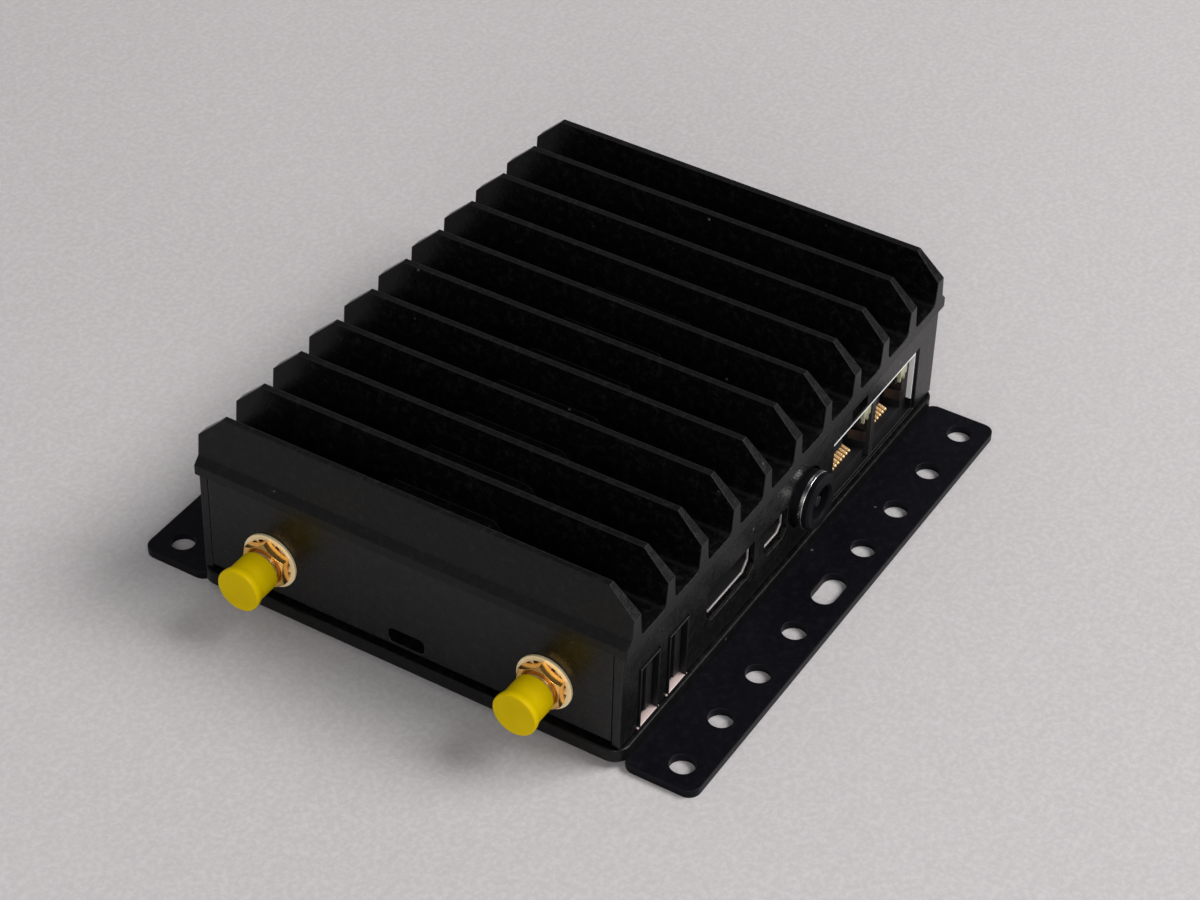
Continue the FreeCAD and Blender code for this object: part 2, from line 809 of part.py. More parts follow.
# Side panels: flat plates between the walls, standing on a shadow gap
def side_panel(label, inner_face, openings):
    body = new_body(label)
    sketch = new_sketch(body, "YZ", inner_face)
    half = f"({WALL_IN} - panel_gap)"
    add_rectangle(sketch, f"-{half}", half, PANEL_LOW, SKIRT_LOW)
    if openings:
        low = f"({PANEL_LOW} + lock_slot_rise)"
        ends = ("-(lock_slot_length / 2)", "lock_slot_length / 2")
        add_rectangle(sketch, *ends, low, f"{low} + lock_slot_height")
        for side in ("-", ""):
            add_circle(sketch, f"{side}antenna_along", ANTENNA_HEIGHT, "(thread_width + thread_clear * 2)")
    plate = pad(body, sketch, "panel_thick")
    if openings:
        slot = size("lock_slot_length") / 2 + 1e-6

        def slot_corner(edge):
            return runs_along(edge, 0) and abs(edge.Vertexes[0].Y) < slot

        fillet(body, plate, slot_corner, "lock_slot_corner")


# Heat-sink cover: slab with shoulders, tapered fins with bevelled ends, raised field and pedestal
def heat_sink_cover():
    body = new_body("heat_sink_cover")
    high = f"({CHANNEL_FLOOR} + shoulder_rise)"
    low = f"({CHANNEL_FLOOR} - shoulder_drop)"
    face = f"({OUTER_FIN} + fin_root / 2 - (fin_root - fin_tip) / 2 * shoulder_rise / fin_height)"
    half = [
        (CASE_END, SKIRT_LOW),
        (CASE_END, low),
        (face, high),
        (OUTER_FIN, high),
        (OUTER_FIN, CHANNEL_FLOOR),
    ]
    section = half + [(f"-{across}", up) for across, up in reversed(half)]
    both_sides(pad(body, add_polygon(new_sketch(body, "XZ"), section), "casting_width"))
    fin_section = [
        (f"-{OUTER_FIN} - fin_root / 2", CHANNEL_FLOOR),
        (f"-{OUTER_FIN} + fin_root / 2", CHANNEL_FLOOR),
        (f"-{OUTER_FIN} + fin_tip / 2", FIN_TOP),
        (f"-{OUTER_FIN} - fin_tip / 2", FIN_TOP),
    ]
    fin = both_sides(pad(body, add_polygon(new_sketch(body, "XZ"), fin_section), "casting_width"))
    fins = body.newObject("PartDesign::LinearPattern", "heat_sink_cover_fins")
    fins.Originals = [fin]
    fins.Direction = (origin_item(body, "X_Axis"), [""])
    bind(fins, "Length", f"{OUTER_FIN} * 2")
    bind(fins, "Occurrences", "fin_count")
    body.Tip = fins
    floor_level = sum(size(name) for name in ("plate_thick", "rim_height", "wall_rise", "slab_thick"))
    last_root = size("casting_length") / 2 - size("shoulder_width") - size("fin_root") / 2

    def fin_foot(edge):
        return (
            runs_along(edge, 1)
            and abs(edge.Vertexes[0].Z - floor_level) < 1e-6
            and abs(edge.Vertexes[0].X) < last_root
        )

    fillet(body, fins, fin_foot, "fin_fillet")
    ends = new_sketch(body, "YZ")
    for side in ("", "-"):
        start = f"{side}({SKIRT_OUT} - bevel_length)"
        end = f"{side}{SKIRT_OUT}"
        beyond = f"{side}({SKIRT_OUT} + bevel_length)"
        above = f"({FIN_TOP} + bevel_height)"
        foot = f"({FIN_TOP} - bevel_height)"
        add_polygon(ends, [(start, FIN_TOP), (end, foot), (beyond, foot), (beyond, above), (start, above)])
    both_sides(pocket(body, ends, "casting_length + 2"))
    field = new_sketch(body, "YZ")
    top = f"({CHANNEL_FLOOR} + plateau_height)"
    add_polygon(
        field,
        [
            ("-(plateau_foot / 2)", CHANNEL_FLOOR),
            ("plateau_foot / 2", CHANNEL_FLOOR),
            ("plateau_top / 2", top),
            ("-(plateau_top / 2)", top),
        ],
    )
    pad(body, field, OUTER_FIN, second=f"{FIN_PITCH} * plateau_channels - {OUTER_FIN}")
    recess = add_centred(
        new_sketch(body, "XY", SKIRT_LOW),
        "0",
        "0",
        f"({BOSS_IN} - recess_margin) * 2",
        f"({WALL_IN} - recess_margin) * 2",
    )
    pocket(body, recess, "recess_depth", back=True)
    foot = new_sketch(body, "XY", PAD_TOP)
    pedestal = add_centred(foot, "processor_across", "0", "pedestal_size", "pedestal_size")
    pad(body, pedestal, f"{SKIRT_LOW} + recess_depth - {PAD_TOP}")
    threads = new_sketch(body, "XY", SKIRT_LOW)
    for across, along in corners(*CORNER_SCREW):
        add_circle(threads, across, along, "base_screw_width")
    pocket(body, threads, "base_screw_bite", back=True)


# Main board: outlined by the frame's bosses and cut out where connectors sink into it
def standoff_places():
    return [
        (f"-{STANDOFF_ACROSS}", "standoff_rear"),
        (STANDOFF_ACROSS, "standoff_rear"),
        (f"-{STANDOFF_ACROSS}", "-standoff_front"),
        (STANDOFF_ACROSS, "-standoff_front"),
    ]


def main_board():
    body = new_body("main_board")
    usb_cut = f"({USB_OUTER} - usb_thick / 2 - cutout_clear)"
    inner_low = f"({USB_INNER} - usb_thick / 2 - cutout_clear)"
    inner_high = f"({USB_INNER} + usb_thick / 2 + cutout_clear)"
    usb_back = f"({USB_FRONT} - usb_depth - cutout_clear)"
    corner_back = "(antenna_along - inner_flange / 2 - cutout_clear)"
    notch_back = "(antenna_along + inner_flange / 2 + cutout_clear)"
    notch_in = f"({CRIMP_END} - cutout_clear)"
    power_low = f"({POWER_ACROSS} - power_box_wide / 2 - cutout_clear)"
    power_high = f"({POWER_ACROSS} + power_box_wide / 2 + cutout_clear)"
    power_back = f"({WALL_IN} - power_box_depth - cutout_clear)"
    network_low = f"({NETWORK_ACROSS} - network_wide / 2 - cutout_clear)"
    network_high = f"({NETWORK_ACROSS} + network_wide / 2 + cutout_clear)"
    network_back = f"({NETWORK_FRONT} - network_depth - cutout_clear)"
    outline = [
        (f"-{BOARD_END}", f"-{BOARD_SIDE}"),
        (BOARD_END, f"-{BOARD_SIDE}"),
        (BOARD_END, f"-{notch_back}"),
        (notch_in, f"-{notch_back}"),
        (notch_in, f"-{corner_back}"),
        (BOARD_END, f"-{corner_back}"),
        (BOARD_END, corner_back),
        (usb_cut, corner_back),
        (usb_cut, BOARD_SIDE),
        (inner_high, BOARD_SIDE),
        (inner_high, usb_back),
        (inner_low, usb_back),
        (inner_low, BOARD_SIDE),
        (power_high, BOARD_SIDE),
        (power_high, power_back),
        (power_low, power_back),
        (power_low, BOARD_SIDE),
        (network_high, BOARD_SIDE),
        (network_high, network_back),
        (network_low, network_back),
        (network_low, BOARD_SIDE),
        (f"-{BOARD_END}", BOARD_SIDE),
    ]
    pad(body, add_polygon(new_sketch(body, "XY", BOARD_LOW), outline), "board_thick")
    holes = new_sketch(body, "XY", BOARD_TOP)
    for across, along in standoff_places():
        add_circle(holes, across, along, "(board_screw_width + board_hole_clear)")
    pocket(body, holes, "board_thick")


def board_standoffs():
    posts = []
    screws = []
    for number, (across, along) in enumerate(standoff_places()):
        foot = (across, along, FLOOR_TOP)
        tip = (across, along, f"({BOARD_LOW} - board_screw_bite)")
        seat = (across, along, BOARD_TOP)
        reach = "board_screw_bite + board_thick"
        post = rod(f"standoff_post_{number}", "z", foot, "standoff_height", "standoff_width")
        bore = rod(f"standoff_bore_{number}", "z", tip, "board_screw_bite", "board_screw_width")
        posts.append(cut(f"standoff_{number}", post, bore))
        shank = rod(f"board_screw_shank_{number}", "z", tip, reach, "board_screw_width")
        head = rod(f"board_screw_head_{number}", "z", seat, "board_screw_top", "board_screw_head")
        screws.append(fuse(f"board_screw_{number}", [shank, head]))
    node(group("board_standoffs", posts))
    node(group("board_screws", screws))


# Processor with its bare die, the pad above it, coils and capacitors
def board_components():
    middle = ("processor_across", "0")
    die_low = f"({BOARD_TOP} + processor_base)"
    carrier = block_at("processor_base", middle, "processor_size", "processor_size", BOARD_TOP, die_low)
    die = block_at("processor_die", middle, "die_size", "die_size", die_low, PAD_LOW)
    node(fuse("processor", [carrier, die]))
    node(block_at("thermal_pad", middle, "die_size", "die_size", PAD_LOW, PAD_TOP))
    coils = []
    for number, side in enumerate(("-", "")):
        centre = ("coil_across", f"{side}coil_spacing / 2")
        top = f"({BOARD_TOP} + coil_height)"
        coils.append(block_at(f"coil_{number}", centre, "coil_size", "coil_size", BOARD_TOP, top))
    node(group("power_coils", coils))
    cans = []
    for number in range(-1, 2):
        start = (f"capacitor_across + capacitor_spacing * {number}", "capacitor_along", BOARD_TOP)
        cans.append(rod(f"can_{number + 1}", "z", start, "capacitor_height", "capacitor_width"))
    node(group("capacitors", cans))


def clock_battery():
    holder = new_body("battery_holder")
    width = "(battery_width + holder_clear * 2)"
    ring = add_circle(
        new_sketch(holder, "XY", BOARD_TOP), BATTERY_ACROSS, "battery_along", f"({width} + holder_wall * 2)"
    )
    pad(holder, ring, "holder_floor + battery_thick")
    top = f"({BOARD_TOP} + holder_floor + battery_thick)"
    cup = add_circle(new_sketch(holder, "XY", top), BATTERY_ACROSS, "battery_along", width)
    pocket(holder, cup, "battery_thick")
    start = (BATTERY_ACROSS, "battery_along", f"({BOARD_TOP} + holder_floor)")
    node(rod("clock_battery", "z", start, "battery_thick", "battery_width"))


# Memory module with chips on both faces, lying under the board in its socket
def memory():
    low = f"({BOARD_LOW} - memory_drop - memory_thick)"
    high = f"({BOARD_LOW} - memory_drop)"
    socket_back = "(memory_socket_along + memory_socket_width)"
    edge = f"({socket_back} - memory_bite)"
    body = box(
        "memory_socket_body",
        ("-(memory_socket_length / 2)", "memory_socket_length / 2"),
        ("memory_socket_along", socket_back),
        (f"({BOARD_LOW} - memory_socket_height)", BOARD_LOW),
    )
    ends = ("-(memory_length / 2)", "memory_length / 2")
    slot = box("memory_socket_slot", ends, (edge, f"({socket_back} + memory_bite)"), (low, high))
    node(cut("memory_socket", body, slot))
    shapes = [box("memory_card", ends, (edge, f"({edge} + memory_width)"), (low, high))]
    for number in range(4):
        centre = (f"(chip_spacing * ({number} - 1.5))", f"({edge} + chip_along)")
        levels = (f"({low} - chip_height)", f"({high} + chip_height)")
        shapes.append(block_at(f"memory_chip_{number}", centre, "chip_size", "chip_width", *levels))
    node(fuse("memory_module", shapes))


# Plug-in cards: each sits in a low socket and is held at its far end by a post and one screw
def plug_in_card(label, across, along, length, under):
    face = BOARD_LOW if under else BOARD_TOP
    away = "-" if under else "+"
    middle = f"({along})"
    front = f"({across} + card_socket_depth)"
    far = f"({front} - card_bite + {length})"
    near_level = f"({face} {away} card_lift)"
    far_level = f"({near_level} {away} card_thick)"

    def levels(first, second):
        return (second, first) if under else (first, second)

    card_levels = levels(near_level, far_level)
    sides = (f"({middle} - card_width / 2)", f"({middle} + card_width / 2)")
    socket_body = box(
        f"{label}_socket_body", (across, front), sides, levels(face, f"({face} {away} card_socket_height)")
    )
    edge = f"({front} - card_bite)"
    slot = box(f"{label}_socket_slot", (edge, f"({front} + card_bite)"), sides, card_levels)
    node(cut(f"{label}_socket", socket_body, slot))
    board = box(f"{label}_board", (edge, far), sides, card_levels)
    chips = box(
        f"{label}_chips",
        (f"({front} + card_bite)", f"({far} - card_post * 2)"),
        (f"({middle} - card_width / 3)", f"({middle} + card_width / 3)"),
        levels(far_level, f"({far_level} {away} card_chip_height)"),
    )
    screw_low, screw_high = levels(face, far_level)
    post_low, post_high = levels(face, near_level)
    head_low, head_high = levels(far_level, f"({far_level} {away} card_screw_top)")
    reach = f"{screw_high} - {screw_low}"
    start = (far, middle, screw_low)
    notch = rod(f"{label}_notch", "z", start, reach, "(card_screw_width + board_hole_clear)")
    node(cut(f"{label}_card", fuse(f"{label}_stack", [board, chips]), notch))
    post = rod(f"{label}_post", "z", (far, middle, post_low), f"{post_high} - {post_low}", "card_post")
    shank = rod(f"{label}_screw_shank", "z", start, reach, "card_screw_width")
    head_start = (far, middle, head_low)
    head = rod(f"{label}_screw_head", "z", head_start, f"{head_high} - {head_low}", "card_screw_head")
    return cut(f"{label}_ring", post, shank), fuse(f"{label}_screw", [shank, head])


def cards():
    held = [
        plug_in_card("wireless", WIRELESS_ACROSS, "wireless_along", "wireless_length", under=False),
        plug_in_card("storage", STORAGE_ACROSS, "storage_along", "storage_length", under=True),
    ]
    node(group("card_posts", [post for post, screw in held]))
    node(group("card_screws", [screw for post, screw in held]))


# Plug sockets: a metal shell open towards the outside, with an insulating block and tongue inside
def socket_pair(label, rear, front, depth, outer, inner, tongue, recess):
    """Outlines are point lists; front is the shell's open end measured from the case centre."""
    side = "" if rear else "-"
    shell = new_body(f"{label}_shell")
    pad(shell, add_polygon(new_sketch(shell, "XZ", f"{side}{front}"), outer), depth, back=not rear)
    cavity = add_polygon(new_sketch(shell, "XZ", f"{side}{front}"), inner)
    pocket(shell, cavity, f"{depth} - port_metal", back=rear)
    insulator = new_body(f"{label}_tongue")
    back = f"({front} - {depth} + port_metal)"
    block = add_polygon(new_sketch(insulator, "XZ", f"{side}{back}"), inner)
    pad(insulator, block, "port_block", back=rear)
    blade = add_polygon(new_sketch(insulator, "XZ", f"{side}{back}"), tongue)
    pad(insulator, blade, f"{front} - {recess} - {back}", back=rear)


def rectangle_points(left, right, low, high, inset="0"):
    return [
        (f"{left} + {inset}", f"{low} + {inset}"),
        (f"{right} - {inset}", f"{low} + {inset}"),
        (f"{right} - {inset}", f"{high} - {inset}"),
        (f"{left} + {inset}", f"{high} - {inset}"),
    ]


def upright_usb(label, across):
    left = f"({across} - usb_thick / 2)"
    right = f"({across} + usb_thick / 2)"
    high = f"({USB_LOW} + usb_wide)"
    blade_left = f"({left} + port_metal + usb_tongue_gap)"
    blade_low = f"({USB_LOW} + (usb_wide - usb_tongue_wide) / 2)"
    socket_pair(
        label,
        True,
        USB_FRONT,
        "usb_depth",
        rectangle_points(left, right, USB_LOW, high),
        rectangle_points(left, right, USB_LOW, high, "port_metal"),
        rectangle_points(
            blade_left, f"{blade_left} + usb_tongue_thick", blade_low, f"{blade_low} + usb_tongue_wide"
        ),
        "usb_tongue_recess",
    )


def flat_usb(label, across):
    left = f"({across} - usb_wide / 2)"
    right = f"({across} + usb_wide / 2)"
    high = f"({BOARD_TOP} + usb_thick)"
    blade_high = f"({high} - port_metal - usb_tongue_gap)"
    socket_pair(
        label,
        False,
        USB_FRONT,
        "usb_depth",
        rectangle_points(left, right, BOARD_TOP, high),
        rectangle_points(left, right, BOARD_TOP, high, "port_metal"),
        rectangle_points(
            f"{across} - usb_tongue_wide / 2",
            f"{across} + usb_tongue_wide / 2",
            f"{blade_high} - usb_tongue_thick",
            blade_high,
        ),
        "usb_tongue_recess",
    )


def video_socket(port):
    """A bevelled socket whose sizes all begin with the port's name."""
    across = PORT_ACROSS[port]
    middle = f"({BOARD_TOP} + {port}_high / 2)"
    inner_wide = f"({port}_wide - port_metal * 2)"
    inner_high = f"({port}_high - port_metal * 2)"
    socket_pair(
        f"{port}_port",
        True,
        VIDEO_FRONT,
        "video_depth",
        bevelled(across, BOARD_TOP, f"{port}_wide", f"{port}_high", f"{port}_bevel"),
        bevelled(across, f"({BOARD_TOP} + port_metal)", inner_wide, inner_high, f"{port}_bevel"),
        rectangle_points(
            f"{across} - {port}_tongue_wide / 2",
            f"{across} + {port}_tongue_wide / 2",
            f"{middle} - {port}_tongue_thick / 2",
            f"{middle} + {port}_tongue_thick / 2",
        ),
        "port_tongue_recess",
    )


# Power jack: a box behind the wall, a round collar through it and a centre pin in its bore
def power_jack():
    body = new_body("power_jack")
    rear_box = add_centred(
        new_sketch(body, "XZ", WALL_IN), POWER_ACROSS, POWER_HEIGHT, "power_box_wide", "power_box_high"
    )
    pad(body, rear_box, "power_box_depth")
    collar = add_circle(new_sketch(body, "XZ", WALL_IN), POWER_ACROSS, POWER_HEIGHT, "power_collar")
    pad(body, collar, "wall_thick + power_proud", back=True)
    mouth = f"({WALL_OUT} + power_proud)"
    bore = add_circle(new_sketch(body, "XZ", mouth), POWER_ACROSS, POWER_HEIGHT, "power_bore")
    bored = pocket(body, bore, "power_bore_depth", back=True)
    end = size("casting_width") / 2 - size("skirt_overhang") + size("power_proud")
    chamfer(
        body,
        bored,
        lambda edge: isinstance(edge.Curve, Part.Circle) and abs(edge.Curve.Center.y - end) < 1e-6,
        "power_chamfer",
    )
    start = (POWER_ACROSS, f"({mouth} - power_bore_depth)", POWER_HEIGHT)
    node(rod("power_pin", "y", start, "power_bore_depth - power_pin_recess", "power_pin"))


# Double network jack: one shell around a housing with two stepped cavities, contacts and light windows
def network_jacks():
    left = f"({NETWORK_ACROSS} - network_wide / 2)"
    right = f"({NETWORK_ACROSS} + network_wide / 2)"
    high = f"({NETWORK_LOW} + network_high)"
    inner_left = f"({left} + network_metal)"
    inner_right = f"({right} - network_metal)"
    inner_low = f"({NETWORK_LOW} + network_metal)"
    inner_high = f"({high} - network_metal)"
    shell = new_body("network_shell")
    outline = add_rectangle(new_sketch(shell, "XZ", NETWORK_FRONT), left, right, NETWORK_LOW, high)
    pad(shell, outline, "network_depth")
    inside = add_rectangle(
        new_sketch(shell, "XZ", NETWORK_FRONT), inner_left, inner_right, inner_low, inner_high
    )
    pocket(shell, inside, "network_depth - network_metal", back=True)

    front = f"({NETWORK_FRONT} - network_recess)"
    housing = new_body("network_housing")
    block = add_rectangle(new_sketch(housing, "XZ", front), inner_left, inner_right, inner_low, inner_high)
    pad(housing, block, "network_depth - network_metal - network_recess")
    floor_level = f"({inner_low} + jack_floor)"
    notch_level = f"({floor_level} + jack_high)"
    catch_level = f"({notch_level} + jack_notch_high)"
    top_level = f"({catch_level} + jack_catch_high)"
    cavities = new_sketch(housing, "XZ", front)
    windows = new_sketch(housing, "XZ", front)
    middles = [f"({NETWORK_ACROSS} {side} network_pitch / 2)" for side in ("-", "+")]
    lights = []
    contacts = []
    for jack, middle in enumerate(middles):
        half = [
            ("jack_wide / 2", floor_level),
            ("jack_wide / 2", notch_level),
            ("jack_notch_wide / 2", notch_level),
            ("jack_notch_wide / 2", catch_level),
            ("jack_catch_wide / 2", catch_level),
            ("jack_catch_wide / 2", top_level),
        ]
        right_half = [(f"{middle} + {across}", up) for across, up in half]
        left_half = [(f"{middle} - {across}", up) for across, up in reversed(half)]
        add_polygon(cavities, right_half + left_half)
        window_low = f"({inner_high} - light_margin - light_high)"
        window_high = f"({inner_high} - light_margin)"
        for side in ("-", "+"):
            near = f"({middle} {side} (jack_wide / 2 - light_wide))"
            far = f"({middle} {side} jack_wide / 2)"
            ends = (far, near) if side == "-" else (near, far)
            add_rectangle(windows, *ends, window_low, window_high)
            lights.append(
                box(
                    f"window_{jack}_{len(lights)}",
                    ends,
                    (f"({front} - light_depth)", front),
                    (window_low, window_high),
                )
            )
        first = f"({middle} - contact_pitch * (contact_count - 1) / 2 - contact_wide / 2)"
        for number in range(int(size("contact_count"))):
            strip = doc.addObject("Part::Box", f"contact_{jack}_{number}")
            bind(strip, "Length", "contact_wide")
            bind(strip, "Width", "contact_length")
            bind(strip, "Height", "contact_thick")
            strip.Placement = FreeCAD.Placement(
                FreeCAD.Vector(), FreeCAD.Rotation(FreeCAD.Vector(1, 0, 0), 180 - size("contact_angle"))
            )
            bind(strip, "Placement.Base.x", f"{first} + contact_pitch * {number}")
            bind(strip, "Placement.Base.y", f"({front} - contact_start)")
            bind(strip, "Placement.Base.z", f"{floor_level} + contact_thick")
            contacts.append(strip)
    pocket(housing, cavities, "jack_depth", back=True)
    pocket(housing, windows, "light_depth", back=True)
    node(group("network_lights", lights))
    node(group("network_contacts", contacts))


# Front side: push button with its switch, light pipe, two flat sockets and the audio jack
def power_button():
    body = new_body("power_button")
    height = f"({BOARD_TOP} + button_rise)"
    sketch = new_sketch(body, "YZ", BUTTON_ACROSS, "0", height)
    face = f"-({WALL_OUT} + button_proud)"
    flange_front = f"-({WALL_IN} - button_clear)"
    flange_back = f"-({WALL_IN} - button_clear - button_flange_thick)"
    stem_end = f"-({WALL_IN} - button_clear - button_flange_thick - button_stem_length)"
    add_polygon(
        sketch,
        [
            (face, "0"),
            (stem_end, "0"),
            (stem_end, "button_stem / 2"),
            (flange_back, "button_stem / 2"),
            (flange_back, "button_flange / 2"),
            (flange_front, "button_flange / 2"),
            (flange_front, "button_width / 2"),
            (face, "button_width / 2"),
        ],
    )
    turned = revolve(body, sketch)
    front = size("casting_width") / 2 - size("skirt_overhang") + size("button_proud")
    fillet(
        body,
        turned,
        lambda edge: isinstance(edge.Curve, Part.Circle) and abs(edge.Curve.Center.y + front) < 1e-6,
        "button_proud / 2",
    )
    stem_pressed = f"-({WALL_IN} - button_clear - button_flange_thick - button_stem_length - button_travel)"
    switch_front = f"({stem_pressed} + button_clear)"
    node(
        box(
            "power_switch",
            (f"({BUTTON_ACROSS} - switch_wide / 2)", f"({BUTTON_ACROSS} + switch_wide / 2)"),
            (switch_front, f"({switch_front} + switch_deep)"),
            (BOARD_TOP, f"({BOARD_TOP} + switch_high)"),
        )
    )


def light_pipe():
    height = f"({BOARD_TOP} + light_pipe_rise)"
    start = (LIGHT_PIPE_ACROSS, f"-{WALL_OUT}", height)
    stem = rod("light_pipe_stem", "y", start, "wall_thick", "light_pipe_width")
    inside = (LIGHT_PIPE_ACROSS, f"-{WALL_IN}", height)
    head = rod("light_pipe_head", "y", inside, "light_pipe_length", "light_pipe_head")
    node(fuse("light_pipe", [stem, head]))


def audio_jack():
    middle = f"({BOARD_TOP} + audio_high / 2)"
    body = new_body("audio_jack")
    case = add_centred(
        new_sketch(body, "XZ", f"-{WALL_IN}"), AUDIO_ACROSS, middle, "audio_wide", "audio_high"
    )
    pad(body, case, "audio_depth", back=True)
    nose_width = "(audio_nose - usb_clear)"
    nose = add_circle(new_sketch(body, "XZ", f"-{WALL_IN}"), AUDIO_ACROSS, middle, nose_width)
    pad(body, nose, "wall_thick")
    bore = add_circle(new_sketch(body, "XZ", f"-{WALL_OUT}"), AUDIO_ACROSS, middle, "audio_bore")
    pocket(body, bore, "audio_bore_depth")


# Antenna connectors: turned body through the side panel, insulator, pin, washer, nut and push-on dust cap
def antenna_connector(label, side):
    body = new_body(f"{label}_antenna_connector")
    along = f"{side}antenna_along"
    sketch = new_sketch(body, "XZ", along, "0", ANTENNA_HEIGHT)
    socket_floor = f"({THREAD_END} - socket_depth)"
    add_polygon(
        sketch,
        [
            (CRIMP_END, "0"),
            (socket_floor, "0"),
            (socket_floor, "socket_width / 2"),
            (THREAD_END, "socket_width / 2"),
            (THREAD_END, "thread_width / 2"),
            (PANEL_IN, "thread_width / 2"),
            (PANEL_IN, "inner_flange / 2"),
            (f"({PANEL_IN} - inner_flange_thick)", "inner_flange / 2"),
            (f"({PANEL_IN} - inner_flange_thick)", "crimp_width / 2"),
            (CRIMP_END, "crimp_width / 2"),
        ],
    )
    revolve(body, sketch)
    start = (socket_floor, along, ANTENNA_HEIGHT)
    panel_face = (PANEL_OUT, along, ANTENNA_HEIGHT)
    nut_foot = (NUT_LOW, along, ANTENNA_HEIGHT)
    disc = rod(f"{label}_disc", "x", start, "insulator_thick", "socket_width")
    pin = rod(f"{label}_pin", "x", start, "socket_depth - pin_recess", "pin_width")
    insulator = cut(f"{label}_insulator", disc, pin)
    thread = rod(f"{label}_thread", "x", panel_face, "thread_reach", "thread_width")
    flat = rod(f"{label}_washer_disc", "x", panel_face, "washer_thick", "washer_width")
    washer = cut(f"{label}_washer", flat, thread)
    prism = doc.addObject("Part::Prism", f"{label}_nut_prism")
    prism.Polygon = 6
    corner = f"nut_across / {math.sqrt(3):.6f}"
    bind(prism, "Circumradius", corner)
    bind(prism, "Height", "nut_thick")
    place(prism, "x", nut_foot)
    plain = rod(f"{label}_nut_body", "x", nut_foot, "nut_thick - nut_chamfer", f"({corner} * 2)")
    nose_start = (f"({NUT_LOW} + nut_thick - nut_chamfer)", along, ANTENNA_HEIGHT)
    nose = cone(f"{label}_nut_nose", "x", nose_start, "nut_chamfer", f"({corner} * 2)", "nut_across")
    turned = fuse(f"{label}_nut_turned", [plain, nose])
    hexagon = doc.addObject("Part::MultiCommon", f"{label}_nut_hexagon")
    hexagon.Shapes = [prism, turned]
    nut = cut(f"{label}_nut", hexagon, thread)
    return insulator, pin, washer, nut


def dust_cap(label, side):
    body = new_body(f"{label}_dust_cap")
    sketch = new_sketch(body, "XZ", f"{side}antenna_along", "0", ANTENNA_HEIGHT)
    mouth = f"({NUT_LOW} + nut_thick + cap_nut_gap)"
    roof = f"({THREAD_END} + cap_end_gap)"
    end = f"({roof} + cap_end_thick)"
    bore = "(thread_width / 2 + cap_clear)"
    add_polygon(
        sketch,
        [
            (mouth, bore),
            (roof, bore),
            (roof, "0"),
            (end, "0"),
            (end, "cap_flange / 2"),
            (f"{end} - cap_flange_thick", "cap_flange / 2"),
            (f"{end} - cap_flange_thick - cap_flare", "cap_width / 2"),
            (mouth, "cap_width / 2"),
        ],
    )
    turned = revolve(body, sketch)
    radius = size("cap_flange") / 2

    def flange_edge(edge):
        return isinstance(edge.Curve, Part.Circle) and math.isclose(edge.Curve.Radius, radius, abs_tol=1e-6)

    fillet(body, turned, flange_edge, "cap_round")


# Antenna pigtails: thin cables from the crimps to the wireless card, straight runs joined by tangent arcs
def rounded_path(points):
    """Straight runs between the points with the largest arcs that the shorter run at each point allows."""
    edges = []
    radii = []
    last = points[0]
    for before, corner, after in zip(points, points[1:], points[2:]):
        inward = (corner - before).normalize()
        outward = (after - corner).normalize()
        half_turn = inward.getAngle(outward) / 2
        trim = 0.45 * min(before.distanceToPoint(corner), corner.distanceToPoint(after))
        radius = trim / math.tan(half_turn)
        start = corner - inward * trim
        end = corner + outward * trim
        bisector = (outward - inward).normalize()
        middle = corner + bisector * (radius / math.cos(half_turn) - radius)
        edges.append(Part.LineSegment(last, start).toShape())
        edges.append(Part.Arc(start, middle, end).toShape())
        radii.append(round(radius, 1))
        last = end
    edges.append(Part.LineSegment(last, points[-1]).toShape())
    return Part.Wire(edges), radii


def pigtail(label, mirror):
    along = size("antenna_along")
    rim_top = size("plate_thick") + size("rim_height")
    height = rim_top + size("antenna_rise")
    panel_in = size("casting_length") / 2 - size("panel_inset") - size("panel_thick")
    crimp_end = panel_in - size("inner_flange_thick") - size("crimp_length")
    board_top = sum(size(name) for name in ("plate_thick", "base_floor", "standoff_height", "board_thick"))
    card_top = board_top + size("card_lift") + size("card_thick")
    card_start = measure(f"{WIRELESS_ACROSS} + card_socket_depth - card_bite")
    plug_across = card_start + size("wireless_length") - size("plug_inset")
    plug = FreeCAD.Vector(plug_across, size("wireless_along") + size("plug_along"), card_top)
    plug_radius = size("plug_width") / 2
    end = plug + FreeCAD.Vector(plug_radius - size("cable_bite"), 0, size("plug_height") / 2)
    start = FreeCAD.Vector(crimp_end, along, height)
    bend = FreeCAD.Vector(-size("cable_bend_reach"), -size("cable_bend_shift"), size("cable_bend_rise"))
    points = [
        start,
        start - FreeCAD.Vector(size("cable_straight"), 0, 0),
        start + bend,
        end + FreeCAD.Vector(size("cable_turn_reach"), size("cable_turn_shift"), 0),
        end + FreeCAD.Vector(size("cable_end_reach"), size("cable_end_shift"), size("cable_end_rise")),
        end,
    ]
    wire, radii = rounded_path(points)
    print(label, "radii", radii)
    circle = Part.Circle(points[0], (points[0] - points[1]).normalize(), size("cable_width") / 2)
    cable = wire.makePipeShell([Part.Wire(circle.toShape())], True, True)
    section = math.pi * size("cable_width") ** 2 / 4
    print(label, "volume", round(cable.Volume, 2), "section by length", round(section * wire.Length, 2))
    cap = Part.makeCylinder(plug_radius, size("plug_height"), plug)
    shape = cable.fuse(cap).removeSplitter()
    if mirror:
        shape = shape.mirror(FreeCAD.Vector(0, size("wireless_along"), 0), FreeCAD.Vector(0, 1, 0))
    held = doc.addObject("Part::Feature", label)
    held.Shape = shape
    held.Placement = FreeCAD.Placement()
    node(held)


